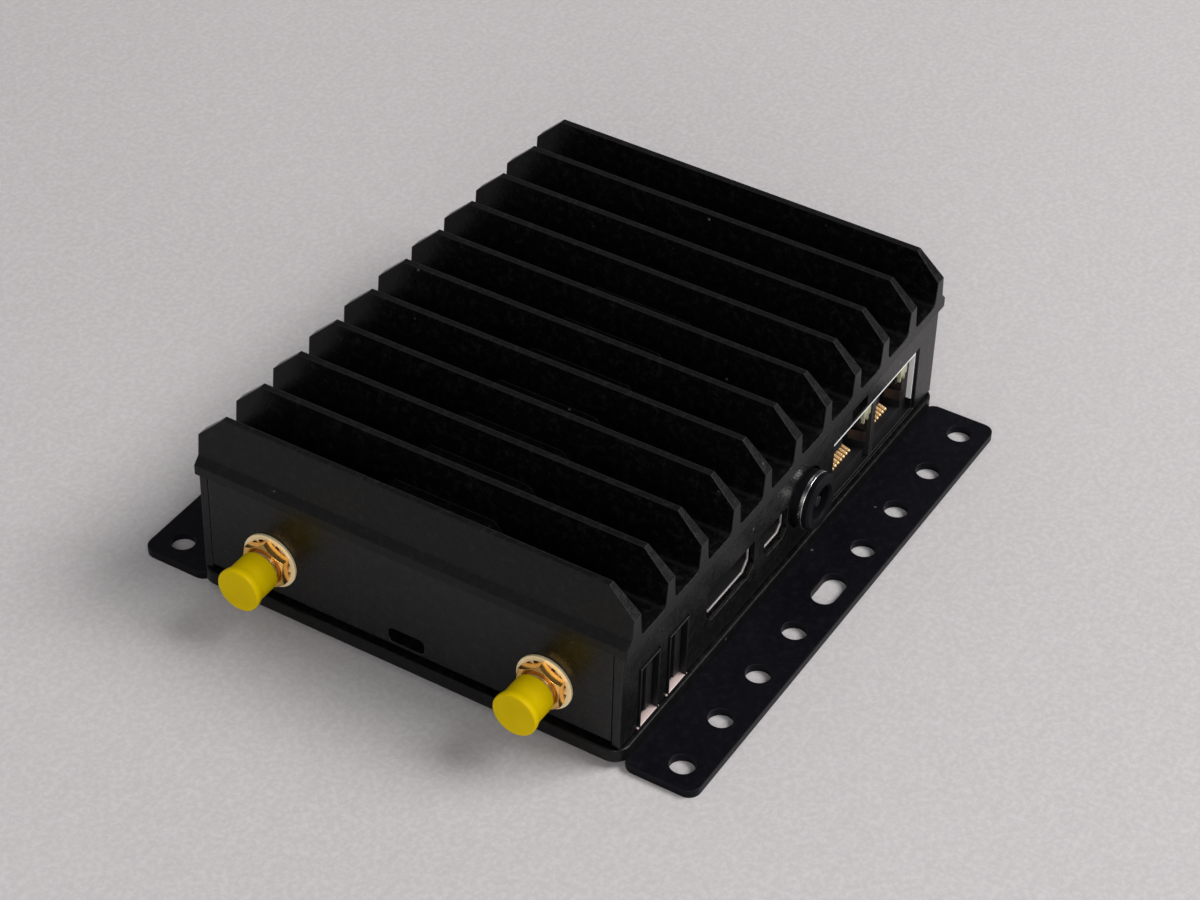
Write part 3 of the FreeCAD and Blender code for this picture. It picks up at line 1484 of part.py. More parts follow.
mounting_bracket()
flat_screws(
    "bracket_screws",
    corners("bracket_screw_across", "bracket_screw_along"),
    "0",
    RIM_TOP,
    "bracket_screw_width",
    "bracket_screw_head",
)
base_cover()
flat_screws(
    "base_screws",
    corners(*CORNER_SCREW),
    PLATE_TOP,
    f"({SKIRT_LOW} + base_screw_bite)",
    "base_screw_width",
    "base_screw_head",
)
main_frame()
side_panel("antenna_side_panel", PANEL_IN, openings=True)
side_panel("plain_side_panel", f"-{PANEL_OUT}", openings=False)
heat_sink_cover()
main_board()
board_standoffs()
board_components()
clock_battery()
memory()
cards()
upright_usb("outer_usb", USB_OUTER)
upright_usb("inner_usb", USB_INNER)
video_socket("video")
video_socket("small_video")
power_jack()
network_jacks()
power_button()
light_pipe()
flat_usb("right_front_usb", "front_usb_across")
flat_usb("left_front_usb", "(front_usb_across - front_usb_pitch)")
audio_jack()
sets = [antenna_connector("rear", ""), antenna_connector("front", "-")]
for label, pieces in zip(("antenna_insulators", "antenna_pins", "lock_washers", "hex_nuts"), zip(*sets)):
    node(group(label, list(pieces)))
dust_cap("rear", "")
dust_cap("front", "-")
pigtail("rear_antenna_cable", mirror=False)
pigtail("front_antenna_cable", mirror=True)

doc.recompute()
for item in doc.Objects:
    if "Invalid" in item.State or "Error" in item.State:
        raise ValueError(f"{item.Label} failed")
    if item.TypeId == "PartDesign::Pocket" and item.Shape.Volume > item.BaseFeature.Shape.Volume - 1e-3:
        raise ValueError(f"{item.Label} cuts nothing")
for item in nodes:
    if item.Shape.isNull() or not item.Shape.isValid() or not item.Shape.Solids:
        raise ValueError(f"{item.Label} has no valid solid")
for item in nodes:
    item.Shape.exportStep(f"parts/{item.Label}.step")
    print(f"{item.Label:28s} solids {len(item.Shape.Solids):2d} faces {len(item.Shape.Faces):4d}")
print(len(nodes), "nodes")
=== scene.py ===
import math

import bmesh
import bpy
from mathutils import Matrix, Vector


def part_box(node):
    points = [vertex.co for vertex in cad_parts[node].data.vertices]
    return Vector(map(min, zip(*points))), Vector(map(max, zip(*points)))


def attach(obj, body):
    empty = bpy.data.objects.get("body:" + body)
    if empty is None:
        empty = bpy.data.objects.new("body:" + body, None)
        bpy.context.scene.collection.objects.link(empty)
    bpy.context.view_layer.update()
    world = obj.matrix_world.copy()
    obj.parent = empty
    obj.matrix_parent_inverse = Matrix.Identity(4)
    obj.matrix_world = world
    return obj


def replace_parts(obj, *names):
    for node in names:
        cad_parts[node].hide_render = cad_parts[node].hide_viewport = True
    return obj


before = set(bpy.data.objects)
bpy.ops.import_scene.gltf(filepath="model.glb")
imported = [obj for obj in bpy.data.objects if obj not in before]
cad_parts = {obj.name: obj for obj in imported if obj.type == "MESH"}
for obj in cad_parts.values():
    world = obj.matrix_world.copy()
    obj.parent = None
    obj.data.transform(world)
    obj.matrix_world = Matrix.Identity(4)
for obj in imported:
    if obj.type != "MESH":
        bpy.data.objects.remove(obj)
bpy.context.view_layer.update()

# Sizes are in metres, and angles in degrees
SIDES = ("rear", "front")
BROAD_EDGE = 0.0003
FINE_EDGE = 0.00012

# Camera: place and directions in the room, lens and film width in millimetres
CAMERA_PLACE = (0.3677321, 0.2178959, 0.3628917)
CAMERA_RIGHT = (-0.5202034, 0.8537059, 0.0239709)
CAMERA_UP = (-0.5342696, -0.3471966, 0.7707208)
CAMERA_BACK = (0.6662915, 0.3881246, 0.6367219)
LENS_LENGTH = 94.65
FILM_WIDTH = 36.0
NEAREST_SEEN = 0.01
FARTHEST_SEEN = 20.0

# Antenna connectors: body, thread, toothed washer and cap
NECK_RADIUS = 0.0017
SHOULDER_RADIUS = 0.004
SHOULDER_DEPTH = 0.002
SOCKET_RADIUS = 0.0023
SOCKET_DEPTH = 0.003
COLLAR_LENGTH = 0.0006
COLLAR_TAPER_ENDS = 0.001
TIP_BEVEL_LENGTH = 0.0003
TIP_BEVEL_DEPTH = 0.00025
THREAD_ROOT = 0.0027
THREAD_CREST = 0.0031
THREAD_PITCH = 0.0007056
THREAD_FLANK = 0.43 * THREAD_PITCH
THREAD_SINK = 0.00005
THREAD_STARTS = 0.0012
THREAD_STOPS = 0.0006
STEPS_PER_TURN = 36
WASHER_BORE = 0.0043
WASHER_RIM = 0.00524
TOOTH_COUNT = 14
TOOTH_RADIUS = 0.00398
TOOTH_TILT = 70
TOOTH_SIZE = (0.0011, 0.00146, 0.00022)
CAP_BORE = 0.00315
CAP_SLEEVE = 0.0037
CAP_HEAD = 0.0041
CAP_END_WALL = 0.0012
CAP_FLARE_STARTS = 0.0021
CAP_FLARE_ENDS = 0.0009

# Upright and flat usb sockets: tongue faces, contact strips and lips
TONGUE_FACE_DEPTH = 0.0027
STRIP_PLACES = (-0.0035, -0.001, 0.001, 0.0035)
STRIP_HALF_WIDTH = 0.0005
STRIP_STARTS = 0.0012
STRIP_ENDS = 0.0085
STRIP_SINK = 0.0001
STRIP_PROUD = 0.00006
LIP_OVERHANG = 0.0003
LIP_DEPTH = 0.0016
LIP_SETBACK = 0.00003
LIP_BOTTOM = 0.0001
LIP_TOP = 0.00044
LIP_EDGE = 0.00008

# Double network jack: the bend and ends of a wire lie so far behind its front and above its floor
JACK_OFFSET = 0.007
JACK_FLOOR_THICKNESS = 0.0014
WIRE_COUNT = 8
WIRE_PITCH = 0.00102
WIRE_RADIUS = 0.00033
WIRE_BEND = (0.0017, 0.0006)
WIRE_ENDS = ((0.0082, 0.0028), (0.003, 0.0002))

# Its light windows and their ribs, across from the jack's middle and down from its roof
WINDOW_ROOF = 0.0005
WINDOW_HEIGHT = 0.0023
WINDOW_DEPTH = 0.003
WINDOW_INNER = 0.0034
WINDOW_OUTER = 0.006
WINDOW_PROUD = 0.0008
RIB_PLACES = (-0.0056, -0.0042)
RIB_OVERHANG = 0.00022
RIB_WIDTH = 0.00045
RIB_EDGE = 0.0001
RIB_DEPTH = 0.001
RIB_PROUD = 0.00055
RIB_BOTTOM = 0.0037
RIB_TOP = 0.0022

# Its spring fingers, with corners across from the jack's middle and outwards from its front
FINGER_BOTTOM = 0.0017
FINGER_TOP = 0.0039
FINGER_OUTLINE = (
    (-0.0068, 0.00035),
    (-0.0062, 0.00025),
    (-0.0058, -0.0001),
    (-0.0053, -0.003),
    (-0.0055, -0.003),
    (-0.00605, -0.0002),
    (-0.0063, 0.00005),
    (-0.0068, 0.00015),
)

# Its pale strips, painted light on the shell's edge, and divider, the end strip between two heights
# above the table
END_STRIP_BOTTOM = 0.0072
END_STRIP_TOP = 0.0174
END_STRIP_OVERHANG = 0.0001
END_STRIP_WIDTH = 0.0002
END_STRIP_PROUD = 0.001
TOP_STRIP_RISE = 0.00005
TOP_STRIP_HEIGHT = 0.0005
TOP_STRIP_BACK = 0.0007
TOP_STRIP_PROUD = 0.00102
DIVIDER_HALF_WIDTH = 0.0007
DIVIDER_EDGE = 0.0001
DIVIDER_SETBACK = 0.0002
DIVIDER_PROUD = 0.001

# Band around the power jack's collar
BAND_SETBACK = 0.0017
BAND_HALF_WIDTH = 0.0004
BAND_INNER = 0.0051
BAND_OUTER = 0.00535
BAND_EDGE = 0.0001

# Table and light, the room's level as a share of white
TABLE_HALF_WIDTH = 3.0
TABLE_GAP = 0.00003
ROOM_LEVEL = 0.3
ROOM_LEVEL_IN_REFLECTIONS = 0.2


def place_camera():
    lens = bpy.data.cameras.new("photo_camera")
    lens.sensor_width = FILM_WIDTH
    lens.lens = LENS_LENGTH
    lens.clip_start = NEAREST_SEEN
    lens.clip_end = FARTHEST_SEEN
    camera = bpy.data.objects.new("photo_camera", lens)
    bpy.context.scene.collection.objects.link(camera)
    turned = Matrix((CAMERA_RIGHT, CAMERA_UP, CAMERA_BACK)).transposed().to_4x4()
    camera.matrix_world = Matrix.Translation(CAMERA_PLACE) @ turned
    bpy.context.scene.camera = camera
    bpy.context.scene.view_settings.view_transform = "Standard"


class Value:
    """A number that varies over a surface, for use in sums with other numbers."""

    def __init__(self, finish, socket):
        self.finish = finish
        self.socket = socket

    def maths(self, operation, *values, clamp=False):
        settings = {"operation": operation, "use_clamp": clamp}
        return self.finish.node("ShaderNodeMath", settings, dict(enumerate(values)))

    def __add__(self, other):
        return self.maths("ADD", self, other)

    __radd__ = __add__

    def __mul__(self, other):
        return self.maths("MULTIPLY", self, other)

    def __sub__(self, other):
        return self.maths("SUBTRACT", self, other)

    def __rsub__(self, other):
        return self.maths("SUBTRACT", other, self)

    def above(self, start, ramp):
        """0 up to the start and 1 past the ramp's width, with an even rise between."""
        return self.maths("MULTIPLY", self - start, 1.0 / ramp, clamp=True)


class Finish:
    """One surface material, made of nodes."""

    def __init__(self, name):
        self.material = bpy.data.materials.new(name)
        self.material.use_nodes = True
        self.tree = self.material.node_tree
        self.tree.nodes.clear()
        self.place = self.node("ShaderNodeTexCoord", {}, {}, "Object")

    def node(self, kind, settings, inputs, output=0):
        made = self.tree.nodes.new(kind)
        for name, value in settings.items():
            setattr(made, name, value)
        for name, value in inputs.items():
            socket = made.inputs[name]
            if isinstance(value, Value):
                self.tree.links.new(value.socket, socket)
            else:
                socket.default_value = value
        return Value(self, made.outputs[output])

    def noise(self, size, detail=2.0, roughness=0.5, offset=(0.0, 0.0, 0.0), stretch=(1.0, 1.0, 1.0)):
        """Clouds from 0 to 1 whose grain is about that size."""
        mapped = {"Vector": self.place, "Location": offset, "Scale": stretch}
        moved = self.node("ShaderNodeMapping", {}, mapped)
        sockets = {"Vector": moved, "Scale": 1.0 / size, "Detail": detail, "Roughness": roughness}
        return self.node("ShaderNodeTexNoise", {}, sockets, "Fac")

    def cells(self, size):
        """Distance from the nearest of many scattered points, about that size apart."""
        sockets = {"Vector": self.place, "Scale": 1.0 / size}
        return self.node("ShaderNodeTexVoronoi", {}, sockets, "Distance")

    def mix(self, share, first, second):
        """The first colour where the share is 0, the second where it is 1."""
        settings = {"data_type": "RGBA", "clamp_factor": True}
        return self.node("ShaderNodeMix", settings, {0: share, 6: first, 7: second}, 2)

    def rounded(self, radius):
        """The surface's direction, turned near an edge as if the edge were round."""
        return self.node("ShaderNodeBevel", {"samples": 6}, {"Radius": radius})

    def edge(self, rounded):
        """1 at an edge and 0 away from it."""
        flat = self.node("ShaderNodeNewGeometry", {}, {}, "Normal")
        settings = {"operation": "DOT_PRODUCT"}
        turned = 1.0 - self.node("ShaderNodeVectorMath", settings, {0: rounded, 1: flat}, "Value")
        return turned.maths("MULTIPLY", turned, 5.0, clamp=True)

    def bump(self, height, strength, distance, normal=None):
        sockets = {"Height": height, "Strength": strength, "Distance": distance}
        if normal is not None:
            sockets["Normal"] = normal
        return self.node("ShaderNodeBump", {}, sockets)

    def shade(self, **sockets):
        """Ends the nodes with a surface of these values, and gives the material."""
        named = {name.replace("_", " "): value for name, value in sockets.items()}
        surface = self.node("ShaderNodeBsdfPrincipled", {}, named)
        end = self.tree.nodes.new("ShaderNodeOutputMaterial")
        self.tree.links.new(surface.socket, end.inputs["Surface"])
        return self.material


def rgb(red, green, blue):
    return (red, green, blue, 1.0)


def grey(level, warmth=0.0):
    return rgb(level * (1 + warmth), level, level * (1 - warmth))


def coat(name, dark, light, roughness, grain, wear_and_edge_highlight_level, specular):
    """Black powder coat: pimpled grain, faint clouds, scuffs, lighter edges (wear and a painted
    highlight) and specks of dust.
    """
    finish = Finish(name)
    cloud = finish.noise(0.022, detail=3.0)
    pimples = finish.noise(grain, roughness=0.6)
    rounded = finish.rounded(BROAD_EDGE)
    edge = finish.edge(rounded)
    specks = 1.0 - finish.cells(0.0042).above(0.045, ramp=0.03)
    dusty = finish.noise(0.009, roughness=0.6, offset=(0.3, 0.1, 0.2)).above(0.56, ramp=0.08)
    dust = specks * dusty
    colour = finish.mix(cloud.above(0.3, ramp=0.4), dark, light)
    scuffs = finish.noise(0.0014, detail=4.0, roughness=0.75, offset=(0.7, 0.2, 0.5))
    colour = finish.mix(scuffs.above(0.5, ramp=0.2) * 0.7, colour, grey(wear_and_edge_highlight_level * 0.4))
    # Lighter edges: partly wear, partly a painted highlight where the rounded edges catch the light
    colour = finish.mix(edge * 0.6, colour, grey(wear_and_edge_highlight_level))
    colour = finish.mix(dust * 0.35, colour, grey(0.3, warmth=0.03))
    rough = roughness + (pimples - 0.5) * 0.16 + (scuffs - 0.5) * 0.3
    normal = finish.bump(pimples, strength=0.5, distance=0.00006, normal=rounded)
    return finish.shade(
        Base_Color=colour, Roughness=rough, Normal=normal, Specular_IOR_Level=specular
    )


def gilt(name, pale, deep, roughness, metal=1.0):
    """Gold plating: fine turning marks and a warm haze. Less metal gives a duller, satin skin."""
    finish = Finish(name)
    haze = finish.noise(0.0016, detail=3.0)
    turning = finish.noise(0.00016, stretch=(1.0, 0.05, 0.05))
    colour = finish.mix(haze.above(0.3, ramp=0.5), pale, deep)
    rough = roughness + haze * 0.12 + turning * 0.06
    rounded = finish.rounded(FINE_EDGE)
    normal = finish.bump(turning, strength=0.15, distance=0.00002, normal=rounded)
    return finish.shade(Base_Color=colour, Metallic=metal, Roughness=rough, Normal=normal)


def cap_vinyl():
    """Soft yellow vinyl: a little translucent, with a dull skin, faint handling marks and a painted
    highlight on its edges.
    """
    finish = Finish("yellow_vinyl")
    cloud = finish.noise(0.004, detail=3.0)
    skin = finish.noise(0.0003)
    rounded = finish.rounded(BROAD_EDGE)
    colour = finish.mix(cloud.above(0.3, ramp=0.5), rgb(0.65, 0.47, 0.0), rgb(0.57, 0.40, 0.0))
    # Painted highlight: a paler yellow along the edges
    colour = finish.mix(finish.edge(rounded) * 0.4, colour, rgb(0.74, 0.6, 0.02))
    return finish.shade(
        Base_Color=colour,
        Roughness=0.42 + (cloud - 0.5) * 0.2,
        Normal=finish.bump(skin, strength=0.12, distance=0.00005, normal=rounded),
        Subsurface_Weight=0.12,
        Subsurface_Radius=(0.0012, 0.001, 0.0002),
        Subsurface_Scale=1.0,
        Specular_IOR_Level=0.05,
    )


def plated_steel(name, colour, roughness, metal=1.0, painted_edge_highlight=0.0, lit_from=0.0):
    """Pressed and plated sheet, brushed and cloudy; with a painted highlight at its edges, or painted
    light past a place along Y.
    """
    finish = Finish(name)
    haze = finish.noise(0.0025, detail=3.0)
    strokes = finish.noise(0.0002, roughness=0.6, stretch=(1.0, 1.0, 0.08))
    rounded = finish.rounded(FINE_EDGE)
    bright = rgb(0.64, 0.59, 0.57)
    hazy = rgb(*(0.82 * part for part in colour[:3]))
    tint = finish.mix(haze, colour, hazy)
    # Painted highlight on the edges
    if painted_edge_highlight:
        tint = finish.mix(finish.edge(rounded) * painted_edge_highlight, tint, bright)
    # Painted light: bright past a place along Y
    if lit_from:
        outwards = finish.node("ShaderNodeSeparateXYZ", {}, {"Vector": finish.place}, "Y")
        tint = finish.mix(outwards.above(lit_from, ramp=0.0002), tint, bright)
    rough = roughness + (haze - 0.5) * 0.14 + (strokes - 0.5) * 0.12
    normal = finish.bump(strokes, strength=0.2, distance=0.00002, normal=rounded)
    return finish.shade(Base_Color=tint, Metallic=metal, Roughness=rough, Normal=normal)


def moulded(name, colour, roughness, grain=0.0003, specular=0.4):
    """Moulded plastic or resin with a fine skin."""
    finish = Finish(name)
    skin = finish.noise(grain, roughness=0.6)
    cloud = finish.noise(0.006)
    paler = rgb(*(min(1.0, part * 1.35 + 0.006) for part in colour[:3]))
    tint = finish.mix(cloud.above(0.35, ramp=0.4), colour, paler)
    rounded = finish.rounded(FINE_EDGE)
    normal = finish.bump(skin, strength=0.18, distance=0.00004, normal=rounded)
    rough = roughness + (skin - 0.5) * 0.12
    return finish.shade(Base_Color=tint, Roughness=rough, Normal=normal, Specular_IOR_Level=specular)


def circuit_board():
    """Green lacquer over copper tracks, with tinned pads."""
    finish = Finish("green_circuit_board")
    tracks = finish.noise(0.0016, detail=1.0, roughness=0.3, stretch=(1.0, 0.15, 1.0))
    cross_tracks = finish.noise(
        0.0016, detail=1.0, roughness=0.3, offset=(0.2, 0.4, 0.0), stretch=(0.15, 1.0, 1.0)
    )
    copper = tracks.above(0.56, ramp=0.02) + cross_tracks.above(0.58, ramp=0.02)
    colour = finish.mix(copper, rgb(0.006, 0.05, 0.018), rgb(0.012, 0.11, 0.035))
    tinned = 1.0 - finish.cells(0.0034).above(0.08, ramp=0.01)
    colour = finish.mix(tinned, colour, rgb(0.6, 0.58, 0.52))
    normal = finish.bump(copper, strength=0.2, distance=0.00003)
    return finish.shade(Base_Color=colour, Roughness=0.34, Metallic=tinned * 0.8, Normal=normal)


def light_window():
    """Milky yellow plastic in front of a lamp that is off."""
    finish = Finish("milky_light_window")
    cloud = finish.noise(0.001)
    colour = finish.mix(cloud, rgb(0.42, 0.42, 0.28), rgb(0.32, 0.32, 0.19))
    return finish.shade(Base_Color=colour, Roughness=0.3 + cloud * 0.1, Coat_Weight=0.3)


def table_top():
    """Pale, faintly pink laminate with a fine fleck and soft blots."""
    finish = Finish("pale_table")
    cloud = finish.noise(0.09, detail=3.0)
    fleck = finish.noise(0.0011, detail=3.0, roughness=0.7)
    blot = finish.noise(0.004, detail=3.0, roughness=0.6, offset=(0.4, 0.2, 0.0))
    colour = finish.mix(cloud, rgb(0.465, 0.442, 0.445), rgb(0.512, 0.487, 0.49))
    colour = finish.mix(fleck.above(0.42, ramp=0.2) * 0.42, colour, rgb(0.62, 0.6, 0.6))
    colour = finish.mix(blot.above(0.35, ramp=0.5) * 0.2, colour, rgb(0.38, 0.36, 0.36))
    return finish.shade(Base_Color=colour, Roughness=0.6, Specular_IOR_Level=0.25)


finishes = {
    "satin_coat": coat(
        "satin_powder_coat",
        dark=grey(0.0014),
        light=grey(0.0025),
        roughness=0.33,
        grain=0.00042,
        wear_and_edge_highlight_level=0.03,
        specular=0.2,
    ),
    "wall_coat": coat(
        "wall_powder_coat",
        dark=grey(0.0014),
        light=grey(0.0026),
        roughness=0.3,
        grain=0.00035,
        wear_and_edge_highlight_level=0.03,
        specular=0.27,
    ),
    "matt_coat": coat(
        "matt_powder_coat",
        dark=rgb(0.0024, 0.0021, 0.004),
        light=rgb(0.004, 0.0036, 0.006),
        roughness=0.36,
        grain=0.00035,
        wear_and_edge_highlight_level=0.02,
        specular=0.09,
    ),
    "gold": gilt("gold_plating", rgb(0.97, 0.76, 0.42), rgb(0.9, 0.63, 0.28), 0.22),
    "nut": gilt("deep_nut_gold", rgb(1.0, 0.6, 0.17), rgb(0.85, 0.46, 0.1), 0.1, metal=0.95),
    "washer": gilt("pale_washer_gold", rgb(1.0, 0.84, 0.52), rgb(1.0, 0.8, 0.46), 0.3, metal=0.3),
    "contact": gilt("contact_gold", rgb(1.0, 0.7, 0.36), rgb(0.9, 0.56, 0.24), 0.2, metal=0.55),
    "vinyl": cap_vinyl(),
    "shell": plated_steel("plated_port_steel", rgb(0.74, 0.72, 0.71), 0.24),
    "screw": plated_steel("zinc_screw_steel", rgb(0.62, 0.62, 0.64), 0.34),
    "dark_screw": plated_steel("blackened_screw_steel", rgb(0.05, 0.05, 0.055), 0.4),
    "can": plated_steel("capacitor_aluminium", rgb(0.72, 0.73, 0.75), 0.3),
    "black": moulded("black_port_plastic", rgb(0.004, 0.004, 0.005), 0.5, specular=0.3),
    "bronze": plated_steel("dull_spring_bronze", rgb(0.036, 0.026, 0.024), 0.5, metal=0.6),
    "lip": plated_steel("bright_port_lip", rgb(0.74, 0.58, 0.55), 0.45, metal=0.3),
    # Painted light: near-white strips where the shell's edge catches the light
    "tinplate": plated_steel("painted_light_tinplate", rgb(1.0, 0.98, 0.96), 0.45, metal=0.1),
    # Darker tinplate with a painted highlight on its edges
    "divider": plated_steel(
        "dulled_tinplate", rgb(0.045, 0.044, 0.045), 0.45, metal=0.6, painted_edge_highlight=0.3
    ),
    # Painted shade: the port steel darkened where it lies in the openings
    "dark_shell": plated_steel(
        "shaded_port_steel", rgb(0.035, 0.035, 0.038), 0.42, metal=0.9, painted_edge_highlight=0.08
    ),
    # Painted shade, with painted light on the front past a place along Y
    "lit_shell": plated_steel(
        "lit_port_steel", rgb(0.03, 0.03, 0.033), 0.42, metal=0.7, lit_from=0.0399
    ),
    "glossy": moulded(
        "glossy_black_plastic", rgb(0.0016, 0.0014, 0.0024), 0.5, grain=0.0006, specular=0.07
    ),
    "white": moulded("white_insulator", rgb(0.78, 0.77, 0.72), 0.45),
    "clear": moulded("frosted_light_pipe", rgb(0.55, 0.58, 0.6), 0.25),
    "resin": moulded("chip_resin", rgb(0.012, 0.012, 0.013), 0.55, grain=0.0002),
    "ferrite": moulded("coil_ferrite", rgb(0.03, 0.03, 0.032), 0.6, grain=0.0002),
    "pad": moulded("grey_pad_rubber", rgb(0.3, 0.34, 0.4), 0.7, grain=0.0005),
    "jacket": moulded("cable_jacket", rgb(0.012, 0.012, 0.013), 0.4, grain=0.0002),
    "board": circuit_board(),
    "window": light_window(),
}

# The parts that wear each finish
worn_by = {
    "satin_coat": ["base_cover", "heat_sink_cover"],
    "wall_coat": ["main_frame", "antenna_side_panel", "plain_side_panel"],
    "matt_coat": ["mounting_bracket"],
    "gold": [
        "board_standoffs",
        "card_posts",
        "rear_antenna_connector",
        "front_antenna_connector",
        "antenna_pins",
    ],
    "nut": ["hex_nuts"],
    "washer": ["lock_washers"],
    "contact": ["network_contacts"],
    "vinyl": ["rear_dust_cap", "front_dust_cap"],
    "shell": ["right_front_usb_shell", "left_front_usb_shell"],
    "dark_shell": ["outer_usb_shell", "inner_usb_shell", "network_shell", "power_pin"],
    "lit_shell": ["video_port_shell", "small_video_port_shell"],
    "screw": ["board_screws", "card_screws", "clock_battery"],
    "dark_screw": ["bracket_screws", "base_screws"],
    "can": ["capacitors"],
    "black": [
        "battery_holder",
        "memory_socket",
        "wireless_socket",
        "storage_socket",
        "outer_usb_tongue",
        "inner_usb_tongue",
        "video_port_tongue",
        "small_video_port_tongue",
        "network_housing",
        "right_front_usb_tongue",
        "left_front_usb_tongue",
        "audio_jack",
        "power_switch",
    ],
    "glossy": ["power_jack", "power_button"],
    "white": ["antenna_insulators"],
    "clear": ["light_pipe"],
    "resin": ["processor"],
    "ferrite": ["power_coils"],
    "pad": ["thermal_pad"],
    "jacket": ["rear_antenna_cable", "front_antenna_cable"],
    "board": ["main_board", "memory_module", "wireless_card", "storage_card"],
    "window": ["network_lights"],
}


def dress(obj, finish):
    obj.data.materials.clear()
    obj.data.materials.append(finish)


for finish_name, node_names in worn_by.items():
    for node_name in node_names:
        dress(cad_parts[node_name], finishes[finish_name])


def add_piece(name, shape, finish, body="case", angle=35.0):
    """Makes an object of a shape, with its finish, and lets it move with a body."""
    bmesh.ops.remove_doubles(shape, verts=shape.verts, dist=1e-7)
    bmesh.ops.recalc_face_normals(shape, faces=shape.faces)
    mesh = bpy.data.meshes.new(name)
    shape.to_mesh(mesh)
    shape.free()
    mesh.shade_smooth()
    mesh.set_sharp_from_angle(angle=math.radians(angle))
    piece = bpy.data.objects.new(name, mesh)
    bpy.context.scene.collection.objects.link(piece)
    dress(piece, finishes[finish])
    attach(piece, body)
    return piece


def points_of(geometry):
    return [item for item in geometry if isinstance(item, bmesh.types.BMVert)]


def round_off(corners, steps=4):
    """An outline from (along, outwards, radius) corners, with an arc where the radius isn't 0."""
    points = []
    for number, (along, outwards, radius) in enumerate(corners):
        here = Vector((along, outwards))
        if not radius:
            points.append(here)
            continue
        before = Vector(corners[number - 1][:2])
        after = Vector(corners[(number + 1) % len(corners)][:2])
        start = here + (before - here).normalized() * radius
        end = here + (after - here).normalized() * radius
        for step in range(steps + 1):
            share = step / steps
            points.append(start.lerp(here, share).lerp(here.lerp(end, share), share))
    return points


def turn(shape, outline, centre, axis="X", segments=72):
    """Spins an outline around an axis. An outline that keeps off the axis is closed first."""
    points = []
    for along, outwards in outline:
        if axis == "X":
            points.append((along, centre[1] + outwards, centre[2]))
        else:
            points.append((centre[0] + outwards, along, centre[2]))
    verts = [shape.verts.new(point) for point in points]
    ends = list(zip(verts, verts[1:]))
    if outline[0][1] > 0:
        ends.append((verts[-1], verts[0]))
    edges = [shape.edges.new(pair) for pair in ends]
    line = (1, 0, 0) if axis == "X" else (0, 1, 0)
    turned = {"cent": centre, "axis": line, "angle": math.tau, "steps": segments, "use_merge": True}
    bmesh.ops.spin(shape, geom=verts + edges, **turned)


def block(shape, low, high, bevel=0.0):
    """A box from its lowest to its highest corner, its edges softened by the bevel."""
    size = [b - a for a, b in zip(low, high)]
    middle = [(a + b) / 2 for a, b in zip(low, high)]
    matrix = Matrix.Translation(middle) @ Matrix.Diagonal((*size, 1.0))
    made = bmesh.ops.create_cube(shape, size=1.0, matrix=matrix)["verts"]
    if bevel:
        edges = list({edge for vert in made for edge in vert.link_edges})
        softened = {"offset": bevel, "affect": "EDGES", "segments": 2, "profile": 0.5, "material": -1}
        bmesh.ops.bevel(shape, geom=edges, **softened)


def prism(shape, outline, bottom, top):
    """A flat outline of (x, y) points, drawn upwards."""
    face = shape.faces.new([shape.verts.new((x, y, bottom)) for x, y in outline])
    drawn = bmesh.ops.extrude_face_region(shape, geom=[face])["geom"]
    bmesh.ops.translate(shape, verts=points_of(drawn), vec=(0, 0, top - bottom))


def rod(shape, start, end, radius, segments=12):
    """A round bar between two points with domed ends."""
    start = Vector(start)
    end = Vector(end)
    along = end - start
    place = Matrix.Translation((start + end) / 2) @ along.to_track_quat("Z", "Y").to_matrix().to_4x4()
    bar = {"cap_ends": True, "segments": segments, "radius1": radius, "radius2": radius}
    bmesh.ops.create_cone(shape, depth=along.length, matrix=place, **bar)
    for point in (start, end):
        ball = {"u_segments": segments, "v_segments": 8, "radius": radius}
        bmesh.ops.create_uvsphere(shape, matrix=Matrix.Translation(point), **ball)


def antenna_middle(side):
    low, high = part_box(f"{side}_dust_cap")
    return (0.0, (low[1] + high[1]) / 2, (low[2] + high[2]) / 2)


def wind_thread(shape, centre, start, end):
    """A pointed ridge wound around the connector, its feet sunk into the body."""
    turns = (end - start) / THREAD_PITCH
    steps = int(turns * STEPS_PER_TURN)
    foot = THREAD_ROOT - THREAD_SINK
    corners = [(start - THREAD_FLANK, foot), (start, THREAD_CREST), (start + THREAD_FLANK, foot)]
    first = [shape.verts.new((along, centre[1] + out, centre[2])) for along, out in corners]
    edges = [shape.edges.new((first[number - 1], first[number])) for number in range(3)]
    path = {"cent": centre, "axis": (1, 0, 0), "angle": math.tau * turns, "steps": steps}
    advance = (THREAD_PITCH * turns / steps, 0, 0)
    drawn = bmesh.ops.spin(shape, geom=first + edges, dvec=advance, **path)
    shape.faces.new(first)
    shape.faces.new(points_of(drawn["geom_last"]))


